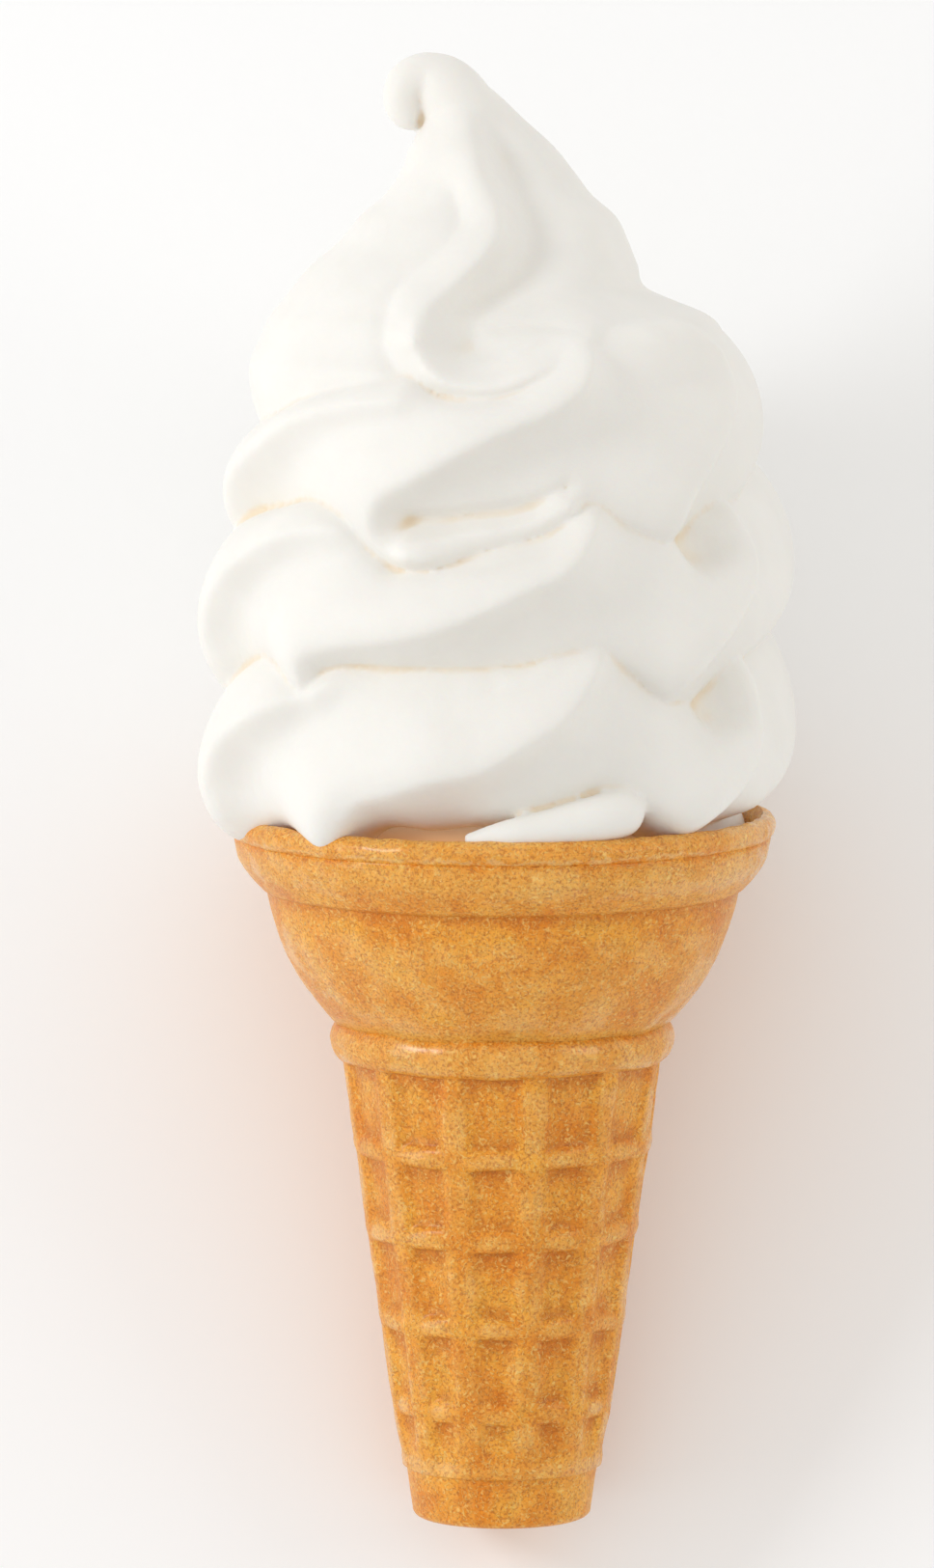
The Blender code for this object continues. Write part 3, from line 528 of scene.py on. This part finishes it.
def raise_ribs(mesh):
    """Twelve rounded ribs up the stem, which run into the rings and the bead."""
    for vertex in mesh.vertices:
        spot = vertex.co / MM
        if not RIB_FOOT_HEIGHT - 0.5 < spot.z < BEAD_HEIGHT:
            continue
        radius = math.hypot(spot.x, spot.y)
        plain = stem_radius(spot.z)
        if radius < plain - 0.5:
            continue
        angle = math.degrees(math.atan2(spot.x, -spot.y)) - RIB_FIRST_ANGLE
        step = 360.0 / RIB_COUNT
        aside = abs((angle + step / 2) % step - step / 2)
        across = math.radians(aside) * radius / (RIB_WIDTH / 2)
        across *= 1.0 + RIB_WAVE[1] * noise_at(spot / RIB_WAVE[0] + Vector((0.0, 20.0, 0.0)))
        lift = RIB_RISE / (1.0 + across**5)
        lift *= min(1.0, max(0.15, (spot.z - RIB_FOOT_HEIGHT) / RIB_FADE))
        target = plain + lift
        settled = (radius + target + math.hypot(radius - target, RIB_BLEND)) / 2 - RIB_SINK
        if spot.z > RIB_FOOT_HEIGHT + 1.0:
            settled -= PANEL_INSET * (1.0 - min(1.0, (settled - plain) / 0.5))
        vertex.co.x *= settled / radius
        vertex.co.y *= settled / radius


def make_uneven(mesh):
    """The small waves that baking leaves in the stem, and the ragged edge of the lip."""
    for vertex in mesh.vertices:
        spot = vertex.co / MM
        radius = math.hypot(spot.x, spot.y)
        if radius < 5.0:
            continue
        wave = sum(noise_at(spot / length) * rise for length, rise in STEM_WAVES)
        lift = 0.0
        if RING_SAG_HEIGHTS[0] < spot.z < RING_SAG_HEIGHTS[1]:
            lift = noise_at(spot / RING_SAG[0] + Vector((9.0, 0.0, 0.0))) * RING_SAG[1]
        if spot.z > LIP_HEIGHT - 1.0:
            lift = noise_at(spot / LIP_WAVE[0]) * LIP_WAVE[1] * min(1.0, spot.z - LIP_HEIGHT + 1.0)
        vertex.co.x *= 1.0 + wave / radius
        vertex.co.y *= 1.0 + wave / radius
        vertex.co.z += lift * MM


def draw_up(name, profile, around):
    """A closed piece drawn up ring by ring from a flat disc, through the radii and heights of a profile."""
    start_fresh()
    radius, height = profile[0]
    bpy.ops.mesh.primitive_circle_add(
        vertices=around, radius=radius * MM, fill_type="NGON", location=(0, 0, height * MM)
    )
    piece = bpy.context.object
    piece.name = name
    bpy.ops.object.mode_set(mode="EDIT")
    bpy.ops.mesh.select_all(action="SELECT")
    for r, z in profile[1:]:
        bpy.ops.mesh.extrude_region_move(TRANSFORM_OT_translate={"value": (0, 0, (z - height) * MM)})
        bpy.ops.transform.resize(value=(r / radius, r / radius, 1), center_override=(0, 0, z * MM))
        radius, height = r, z
    bpy.ops.mesh.select_all(action="SELECT")
    bpy.ops.mesh.normals_make_consistent(inside=False)
    bpy.ops.object.mode_set(mode="OBJECT")
    bpy.ops.object.transform_apply(location=True, rotation=True, scale=True)
    return piece


def mould_wafer(laid):
    """The wafer cup, drawn up ring by ring from the edge of its foot, over the lip and down inside."""
    profile = even_steps(outer_profile(WAFER_FINE)[::-1][1:], WAFER_STEP)
    profile += even_steps(inner_profile(0.0)[::-1][:-1], 2 * WAFER_STEP)
    wafer = draw_up("moulded_wafer", profile, WAFER_AROUND)
    raise_ribs(wafer.data)
    make_uneven(wafer.data)
    mark_relief(wafer.data, 10, 0.30)
    bpy.ops.object.shade_smooth_by_angle(angle=math.radians(50))
    lay_down(wafer, laid)
    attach(wafer, "root")
    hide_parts("wafer_cone")
    return wafer


# Soft serve


def swirl_angle(turn):
    """Degrees round from the front, growing to the right, at a place along the rope in turns."""
    return 360.0 * turn - 90.0


def turn_at(layer, angle):
    return layer + (angle + 90.0) / 360.0


def seam_stations():
    """Turn and height of the seam that runs up round the swirl below the rope."""
    stations = list(SEAM_START)
    for layer, seam in enumerate((SEAM_AT_RIM, SEAM_LOW, SEAM_MIDDLE, SEAM_HIGH)):
        stations += [(turn_at(layer, angle), height) for angle, height in seam]
    return stations


def rope_middle(turns):
    """Height of the middle of the rope and half its height, with the overlap that presses layers together."""
    stations = seam_stations()
    low = smooth_value(stations, turns)
    high = smooth_value(stations, np.asarray(turns) + 1.0)
    return (low + high) / 2, (high - low) / 2 + ROPE_OVERLAP


def as_seen(x, y, z):
    """Where a point shows to the viewer, measured right of the axis and up in the plane through the axis."""
    nearer = VIEW_DISTANCE / (VIEW_DISTANCE + y)
    return VIEW_RIGHT + (x - VIEW_RIGHT) * nearer, VIEW_HEIGHT + (z - VIEW_HEIGHT) * nearer


def on_rope(path, layer):
    """A line that the viewer sees, as lengths round the rope of a layer and heights."""
    unrolled = []
    for right, up in path:
        turn = layer + 0.25
        for _ in range(6):
            radius = float(smooth_value(ROPE_OUTER_RADIUS, turn))
            angle = math.radians(swirl_angle(turn) - 360.0 * layer)
            nearer = VIEW_DISTANCE / (VIEW_DISTANCE - radius * math.cos(angle) + SWIRL_OFFSET_Y)
            x = VIEW_RIGHT + (right - VIEW_RIGHT) / nearer - SWIRL_OFFSET_X
            angle = math.asin(max(-1.0, min(1.0, x / radius)))
            turn = turn_at(layer, math.degrees(angle))
        unrolled.append((ROLL_RADIUS * angle, VIEW_HEIGHT + (up - VIEW_HEIGHT) / nearer))
    return unrolled


def line_distance(right, up, path):
    """Distance to a smooth line through points, and the side: -1 on the right as it runs, 1 on the left."""
    stations = [(i, *point) for i, point in enumerate(path)]
    path = smooth_value(stations, np.linspace(0, len(path) - 1, 4 * len(path)))
    nearest = np.full_like(right, 1e9)
    side = np.zeros_like(right)
    for (x0, y0), (x1, y1) in zip(path[:-1], path[1:]):
        step_x = x1 - x0
        step_y = y1 - y0
        x = right - x0
        y = up - y0
        along = np.clip((x * step_x + y * step_y) / (step_x**2 + step_y**2), 0.0, 1.0)
        distance = np.hypot(x - along * step_x, y - along * step_y)
        aside = (step_x * y - step_y * x) / math.hypot(step_x, step_y) / np.maximum(distance, 1e-6)
        closer = distance < nearest
        nearest = np.where(closer, distance, nearest)
        side = np.where(closer, aside, side)
    return nearest, side


def ridge_shape(distance, side, right_width, left_width):
    """Height of a ridge, 1 at its crest, with a width of its own on the right and on the left as it runs."""
    share = (np.clip(side, -1.0, 1.0) + 1.0) / 2.0
    share = share * share * (3.0 - 2.0 * share)
    wide = right_width + share * (left_width - right_width)
    return 1.0 / (1.0 + (distance / wide) ** 1.8)


def rope_lift(turns, sections, middle, half):
    """How far ridges and folds lift the rope, in millimetres, at places along and round it."""
    height = middle + half * np.sin(sections)
    total = np.zeros_like(height)
    fine = np.zeros_like(height)
    for layer, path in FRONT_RIDGES:
        front = np.clip((turns - layer + FRONT_FROM) / FRONT_FADE, 0.0, 1.0)
        front = front * np.clip((layer + FRONT_TO - turns) / FRONT_FADE, 0.0, 1.0)
        along = ROLL_RADIUS * np.radians(swirl_angle(turns - layer))
        distance, side = line_distance(along, height, on_rope(path, layer))
        total += (front * ridge_shape(distance, side, RIDGE_LIT_WIDTH, RIDGE_SHADED_WIDTH)) ** 3
    for layer, rise, wide, path in FRONT_FOLDS:
        front = (turns > layer - FRONT_FROM) & (turns < layer + FRONT_TO)
        along = ROLL_RADIUS * np.radians(swirl_angle(turns - layer))
        distance, side = line_distance(along, height, on_rope(path, layer))
        fine += front * rise / (1.0 + (distance / wide) ** 4)
    for layer in (-1, 0, 1, 2):
        along = ROLL_RADIUS * np.radians(swirl_angle(turns - layer))
        for angle in BACK_RIDGES:
            path = []
            for lean, share in BACK_LEAN:
                section = math.asin(2 * share - 1)
                path.append((math.radians(angle + lean) * ROLL_RADIUS, section * BACK_HALF_HEIGHT))
            distance, side = line_distance(along, sections * BACK_HALF_HEIGHT, path)
            near = abs(turns - turn_at(layer, angle)) < BACK_REACH
            ridge = near * BACK_SHARE * ridge_shape(distance, side, RIDGE_LIT_WIDTH, RIDGE_SHADED_WIDTH)
            total += ridge**3
    return RIDGE_RISE * total ** (1.0 / 3.0), fine


def rope_rings(around, per_turn):
    """Rings of points along the rope of soft serve that is laid round and round."""
    count = int((ROPE_END - ROPE_START) * per_turn)
    turns = np.linspace(ROPE_START, ROPE_END, count)
    middle, half = rope_middle(turns)
    outer = smooth_value(ROPE_OUTER_RADIUS, turns)
    section = np.radians(np.linspace(-180.0, 180.0, around, endpoint=False))
    start = np.sqrt(np.clip((turns - ROPE_START) / START_TAPER, 0.02, 1.0))
    finish = np.sqrt(np.clip((ROPE_END - turns) / END_TAPER, 0.02, 1.0))
    taper = (start * finish)[:, None]
    every_turn = np.repeat(turns[:, None], around, axis=1)
    every_section = np.repeat(section[None, :], count, axis=0)
    rise, fine = rope_lift(every_turn, every_section, middle[:, None], half[:, None])
    face = np.cos(every_section)
    full = np.sign(face) * np.abs(face) ** 0.8
    out = (outer - ROPE_DEPTH)[:, None] + taper * (ROPE_DEPTH - RIDGE_RISE) * full
    out = out + taper * (rise + fine) * np.sqrt(np.clip(face, 0.0, 1.0))
    height = middle[:, None] + taper * half[:, None] * np.sin(every_section)
    height = height + taper * 0.1 * rise * np.sin(every_section) * (face > 0.0)
    angle = np.radians(swirl_angle(turns))[:, None]
    return np.stack([out * np.sin(angle), -out * np.cos(angle), height], axis=2)


def peak_rings(around, levels):
    """Rings up the peak, with its folds."""
    heights = np.linspace(PEAK[0][0], PEAK[-1][0], levels)
    round_the = np.radians(np.linspace(-180.0, 180.0, around, endpoint=False))[None, :]
    x, y, half, depth = smooth_value(PEAK, heights).T[:, :, None]
    height = np.repeat(heights[:, None], around, axis=1)
    out_x = x + half * np.sin(round_the)
    out_y = y - depth * np.cos(round_the)
    right, up = as_seen(out_x + SWIRL_OFFSET_X, out_y + SWIRL_OFFSET_Y, height)
    raised = np.zeros_like(right)
    sunk = np.zeros_like(right)
    for rise, right_width, left_width, path in PEAK_FOLDS:
        distance, side = line_distance(right, up, path)
        fold = rise * ridge_shape(distance, side, right_width, left_width) ** 1.5
        raised += np.maximum(fold, 0.0) ** 3
        sunk += np.minimum(fold, 0.0)
    lift = raised ** (1.0 / 3.0) + sunk
    lift *= np.clip(np.cos(round_the) * 3.0, 0.0, 1.0) * np.clip((PEAK[-1][0] - height) / PEAK_FADE, 0.0, 1.0)
    return np.stack([out_x + lift * np.sin(round_the), out_y - lift * np.cos(round_the), height], axis=2)


def tube_rings(path, around):
    """Rings of a round tube through points with a radius each."""
    rings = []
    stations = [(i, *point) for i, point in enumerate(path)]
    path = smooth_value(stations, np.linspace(0, len(path) - 1, 8 * len(path)))
    points = [Vector(point[:3]) for point in path]
    side = Vector((0.0, 1.0, 0.0))
    for i, point in enumerate(points):
        ahead = points[min(i + 1, len(points) - 1)] - points[max(i - 1, 0)]
        across = side.cross(ahead).normalized()
        other = ahead.cross(across).normalized()
        ring = []
        for j in range(around):
            a = 2 * math.pi * j / around
            ring.append(point + (math.cos(a) * across + math.sin(a) * other) * float(path[i][3]))
        rings.append([tuple(spot) for spot in ring])
    return rings


def swirl_shells():
    """The closed shells that melt together into the soft serve."""
    count = 36
    angles = [2 * math.pi * i / count for i in range(count)]
    core_rings = []
    for radius, height in CORE:
        core_rings.append([(radius * math.cos(a), radius * math.sin(a), height) for a in angles])
    return (
        rope_rings(ROPE_AROUND, ROPE_PER_TURN),
        peak_rings(PEAK_AROUND, PEAK_LEVELS),
        tube_rings(CURL, 40),
        tube_rings(END_ROLL, 40),
        core_rings,
    )


def lay_soft_serve(laid):
    """The rope, the peak and its curl, melted into one piece and pressed flat where the cone lies on it."""
    points = []
    faces = []
    for rings in swirl_shells():
        shell_points, shell_faces = skin(rings)
        first = len(points)
        for x, y, z in shell_points:
            points.append(((x + SWIRL_OFFSET_X) * MM, (y + SWIRL_OFFSET_Y) * MM, z * MM))
        faces += [tuple(first + corner for corner in face) for face in shell_faces]
    mesh = bpy.data.meshes.new("soft_serve_rope")
    mesh.from_pydata(points, [], faces)
    thing = bpy.data.objects.new("soft_serve_rope", mesh)
    bpy.context.scene.collection.objects.link(thing)
    use_modifier(thing, "REMESH", mode="VOXEL", voxel_size=MELT_SIZE * MM)
    use_modifier(thing, "SMOOTH", factor=0.5, iterations=2)
    use_modifier(thing, "DECIMATE", ratio=THIN_SHARE)
    lay_down(thing, laid)
    bpy.ops.object.mode_set(mode="EDIT")
    bpy.ops.mesh.select_all(action="SELECT")
    bpy.ops.mesh.bisect(plane_co=(0, 0, 0), plane_no=(0, 0, 1), use_fill=True, clear_inner=True)
    bpy.ops.object.mode_set(mode="OBJECT")
    bpy.ops.object.shade_smooth()
    mark_relief(thing.data, 12, 0.35)
    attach(thing, "root")
    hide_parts("soft_serve")
    return thing


def fill_wafer(laid):
    """Soft serve down inside the wafer, a plug whose top is inside the swirl."""
    profile = [spot for spot in inner_profile(GAP) if spot[1] < FILLING_WALL_TOP]
    profile += FILLING_TOP
    plug = draw_up("soft_serve_filling", profile[1:], FILLING_AROUND)
    bpy.ops.object.shade_smooth_by_angle(angle=math.radians(40))
    lay_down(plug, laid)
    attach(plug, "root")
    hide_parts("soft_serve")
    return plug


# Finishes


def node(tree, kind, **settings):
    made = tree.nodes.new(kind)
    for setting, value in settings.items():
        setattr(made, setting, value)
    return made


def standing_place(tree, laid):
    """Where a point of the laid cone was when the cone stood, in millimetres."""
    back = laid.inverted()
    coordinates = node(tree, "ShaderNodeTexCoord")
    turned = node(tree, "ShaderNodeMapping", vector_type="POINT")
    turned.inputs["Location"].default_value = back.translation / MM
    turned.inputs["Rotation"].default_value = back.to_euler()
    turned.inputs["Scale"].default_value = (1 / MM, 1 / MM, 1 / MM)
    tree.links.new(coordinates.outputs["Object"], turned.inputs["Vector"])
    return turned.outputs["Vector"]


def noise(tree, place, size, detail=3.0, rough=0.5, twist=0.0):
    """Cloudy noise, 0 to 1, whose blobs are about this many millimetres apart."""
    made = node(tree, "ShaderNodeTexNoise")
    made.inputs["Scale"].default_value = 1.0 / size
    made.inputs["Detail"].default_value = detail
    made.inputs["Roughness"].default_value = rough
    made.inputs["Distortion"].default_value = twist
    tree.links.new(place, made.inputs["Vector"])
    return made.outputs["Fac"]


def between(tree, value, low, high, to_low=0.0, to_high=1.0):
    """A value stretched so that low becomes to_low and high becomes to_high, with soft ends."""
    made = node(tree, "ShaderNodeMapRange", interpolation_type="SMOOTHSTEP")
    made.inputs["From Min"].default_value = low
    made.inputs["From Max"].default_value = high
    made.inputs["To Min"].default_value = to_low
    made.inputs["To Max"].default_value = to_high
    tree.links.new(value, made.inputs["Value"])
    return made.outputs["Result"]


def maths(tree, operation, first, second):
    made = node(tree, "ShaderNodeMath", operation=operation)
    for socket, value in zip(made.inputs, (first, second)):
        if isinstance(value, (int, float)):
            socket.default_value = value
        else:
            tree.links.new(value, socket)
    return made.outputs[0]


def mix_colour(tree, factor, first, second):
    """The first colour, going over to the second as the factor goes from 0 to 1."""
    made = node(tree, "ShaderNodeMix", data_type="RGBA", blend_type="MIX")
    for socket, value in ((made.inputs[0], factor), (made.inputs[6], first), (made.inputs[7], second)):
        if isinstance(value, (int, float)):
            socket.default_value = value
        elif isinstance(value, tuple):
            socket.default_value = (*value, 1.0)
        else:
            tree.links.new(value, socket)
    return made.outputs[2]


def stretched(tree, place, scale):
    made = node(tree, "ShaderNodeVectorMath", operation="MULTIPLY")
    made.inputs[1].default_value = scale
    tree.links.new(place, made.inputs[0])
    return made.outputs[0]


def bump(tree, height, depth, strength):
    made = node(tree, "ShaderNodeBump")
    made.inputs["Distance"].default_value = depth * MM
    made.inputs["Strength"].default_value = strength
    tree.links.new(height, made.inputs["Height"])
    return made.outputs["Normal"]


def new_material(name):
    material = bpy.data.materials.new(name)
    material.use_nodes = True
    return material, material.node_tree, material.node_tree.nodes["Principled BSDF"]


def kept(tree, name):
    """What mark_relief keeps on the points under this name."""
    return node(tree, "ShaderNodeAttribute", attribute_name=name).outputs["Fac"]


def wafer_finish(laid):
    """Baked wafer: golden and blotchy, with painted shade in the corners of the panels, and paler where it
    stands up, partly a paler bake of the thin ribs and partly a painted highlight.
    """
    material, tree, shader = new_material("baked_wafer")
    place = standing_place(tree, laid)
    blotch = noise(tree, place, 6.0, detail=5.0, rough=0.6)
    streak = noise(tree, stretched(tree, place, (1.0, 1.0, 0.12)), 1.4, detail=3.0)
    curls = noise(tree, place, 0.8, detail=3.0, rough=0.6, twist=2.4)
    grain = noise(tree, place, 0.35, detail=2.0, rough=0.6)
    height = node(tree, "ShaderNodeSeparateXYZ")
    tree.links.new(place, height.inputs[0])
    torn = noise(tree, place, 2.2, detail=5.0, rough=0.7)
    ragged = maths(tree, "ADD", height.outputs["Z"], maths(tree, "MULTIPLY", torn, 2.6))
    colour = mix_colour(tree, between(tree, blotch, 0.34, 0.66), (0.84, 0.26, 0.006), (1.0, 0.44, 0.04))
    colour = mix_colour(tree, between(tree, streak, 0.45, 0.7, 0.0, 0.3), colour, (1.0, 0.52, 0.10))
    # Paler where the wafer stands up: partly a paler bake of the thin ribs, rings and bead, partly a painted
    # highlight where they catch the light.
    standing = between(tree, kept(tree, "raised"), 0.1, 0.6, 0.0, 0.5)
    colour = mix_colour(tree, standing, colour, (1.0, 0.55, 0.11))
    # Painted shade: darker brown in the creases, in the corners of the panels and at the feet of the ribs,
    # rings and bead.
    corner = between(tree, kept(tree, "crease"), 0.15, 0.9, 0.0, 0.75)
    colour = mix_colour(tree, corner, colour, (0.70, 0.205, 0.005))
    colour = mix_colour(tree, between(tree, grain, 0.36, 0.52, 0.6, 0.0), colour, (0.52, 0.13, 0.005))
    colour = mix_colour(tree, between(tree, curls, 0.52, 0.66, 0.0, 0.6), colour, (1.0, 0.68, 0.20))
    lip_line = maths(
        tree,
        "MULTIPLY",
        between(tree, ragged, 78.9, 79.1),
        between(tree, ragged, 79.2, 79.5, 1.0, 0.0),
    )
    lip_line = maths(tree, "MULTIPLY", lip_line, between(tree, streak, 0.36, 0.5))
    colour = mix_colour(tree, maths(tree, "MULTIPLY", lip_line, 0.4), colour, (1.0, 0.66, 0.28))
    tree.links.new(colour, shader.inputs["Base Color"])
    rings = node(tree, "ShaderNodeTexVoronoi", feature="F1")
    rings.inputs["Scale"].default_value = 0.5
    tree.links.new(place, rings.inputs["Vector"])
    ring = maths(
        tree,
        "MULTIPLY",
        between(tree, rings.outputs["Distance"], 0.26, 0.32),
        between(tree, rings.outputs["Distance"], 0.32, 0.38, 1.0, 0.0),
    )
    ring = maths(tree, "MULTIPLY", ring, between(tree, blotch, 0.5, 0.6))
    relief = maths(tree, "ADD", curls, maths(tree, "MULTIPLY", grain, 0.45))
    relief = maths(tree, "ADD", relief, maths(tree, "MULTIPLY", ring, 0.35))
    tree.links.new(bump(tree, relief, 0.42, 0.9), shader.inputs["Normal"])
    tree.links.new(between(tree, kept(tree, "raised"), 0.0, 0.8, 0.5, 0.4), shader.inputs["Roughness"])
    worn = between(tree, kept(tree, "raised"), 0.05, 0.35)
    sheen = maths(tree, "MULTIPLY", worn, between(tree, blotch, 0.44, 0.54))
    tree.links.new(maths(tree, "MAXIMUM", sheen, 0.4), shader.inputs["Coat Weight"])
    shader.inputs["Coat Roughness"].default_value = 0.26
    shader.inputs["Specular IOR Level"].default_value = 0.22
    shader.inputs["Subsurface Weight"].default_value = 0.12
    shader.inputs["Subsurface Radius"].default_value = (0.9, 0.4, 0.15)
    shader.inputs["Subsurface Scale"].default_value = 0.001
    return material


def soft_serve_finish(laid):
    """Warm white soft serve, with a painted warm shade deep in its hollows and a darker painted shade along
    its creases.
    """
    material, tree, shader = new_material("soft_serve_white")
    place = standing_place(tree, laid)
    cloud = noise(tree, place, 7.0, detail=3.0)
    colour = mix_colour(tree, between(tree, cloud, 0.3, 0.7), (0.85, 0.83, 0.785), (0.875, 0.855, 0.81))
    # Painted shade: a warm cream tint deep in the wide hollows, where shade and warm bounced light gather.
    hollow = between(tree, kept(tree, "hollow"), 0.1, 1.0, 0.0, 0.5)
    colour = mix_colour(tree, hollow, colour, (0.86, 0.80, 0.69))
    # Painted shade: a warm tan line along the creases between the layers.
    crease = between(tree, kept(tree, "crease"), 0.4, 1.0, 0.0, 0.6)
    colour = mix_colour(tree, crease, colour, (0.84, 0.66, 0.42))
    tree.links.new(colour, shader.inputs["Base Color"])
    ripple = noise(tree, place, 1.6, detail=3.0, rough=0.6)
    tree.links.new(bump(tree, ripple, 0.14, 0.5), shader.inputs["Normal"])
    tree.links.new(between(tree, cloud, 0.3, 0.7, 0.5, 0.6), shader.inputs["Roughness"])
    shader.inputs["Specular IOR Level"].default_value = 0.35
    shader.inputs["Subsurface Weight"].default_value = 0.12
    shader.inputs["Subsurface Radius"].default_value = (1.0, 0.62, 0.36)
    shader.inputs["Subsurface Scale"].default_value = 0.004
    return material


def filling_finish(laid):
    """Soft serve down in the cup, with the orange light that the wafer bounces onto it, and the shade under
    the rim, painted on near the wall, and a faint painted glow.
    """
    material, tree, shader = new_material("soft_serve_in_cup")
    place = standing_place(tree, laid)
    out = node(tree, "ShaderNodeVectorMath", operation="LENGTH")
    tree.links.new(stretched(tree, place, (1.0, 1.0, 0.0)), out.inputs[0])
    # Painted light and shade: orange towards the wafer wall, for the light the wafer bounces there and the
    # shade under the rim.
    wafer_bounce = between(tree, out.outputs["Value"], 21.0, 26.0)
    colour = mix_colour(tree, wafer_bounce, (0.88, 0.80, 0.66), (0.86, 0.40, 0.08))
    tree.links.new(colour, shader.inputs["Base Color"])
    # Painted glow: the filling gives off a little light of its own colour, though it is no lamp.
    tree.links.new(colour, shader.inputs["Emission Color"])
    shader.inputs["Emission Strength"].default_value = 0.15
    shader.inputs["Roughness"].default_value = 0.5
    shader.inputs["Specular IOR Level"].default_value = 0.35
    return material


def floor_finish():
    material, tree, shader = new_material("pale_floor")
    shader.inputs["Base Color"].default_value = (0.97, 0.97, 0.97, 1.0)
    shader.inputs["Roughness"].default_value = 0.9
    shader.inputs["Specular IOR Level"].default_value = 0.1
    return material


def give(thing, material):
    thing.data.materials.clear()
    thing.data.materials.append(material)


# Surroundings


def aimed(place, aim, laid):
    """A place and turn in the frame for a thing at one standing point that looks at another."""
    away = Vector(aim) - Vector(place)
    turn = away.to_track_quat("-Z", "Y").to_matrix().to_4x4()
    return laid @ Matrix.Translation(Vector(place) * MM) @ turn


def set_camera(laid):
    start_fresh()
    bpy.ops.object.camera_add()
    camera = bpy.context.object
    camera.name = "camera"
    camera.matrix_world = aimed(CAMERA_PLACE, CAMERA_AIM, laid)
    camera.data.lens = CAMERA_LENS
    camera.data.sensor_width = 36.0
    camera.data.clip_start = 0.01
    bpy.context.scene.camera = camera


def set_lights(laid):
    for name, (place, side, watts, tint) in LAMPS.items():
        start_fresh()
        bpy.ops.object.light_add(type="AREA")
        lamp = bpy.context.object
        lamp.name = name
        lamp.matrix_world = aimed(place, LAMP_AIM, laid)
        lamp.data.size = side * MM
        lamp.data.energy = watts
        lamp.data.color = tint
    world = bpy.data.worlds.new("studio")
    world.use_nodes = True
    sky = world.node_tree.nodes["Background"]
    sky.inputs["Color"].default_value = SKY_TINT
    sky.inputs["Strength"].default_value = SKY_STRENGTH
    bpy.context.scene.world = world
    bpy.context.scene.view_settings.view_transform = "Standard"


def set_floor():
    start_fresh()
    bpy.ops.mesh.primitive_plane_add(size=3.0, location=(0, 0, 0))
    floor = bpy.context.object
    floor.name = "floor"
    give(floor, floor_finish())


def main():
    laid = laid_down()
    set_camera(laid)
    set_lights(laid)
    set_floor()
    wafer = mould_wafer(laid)
    swirl = lay_soft_serve(laid)
    plug = fill_wafer(laid)
    give(wafer, wafer_finish(laid))
    give(swirl, soft_serve_finish(laid))
    give(plug, filling_finish(laid))


main()
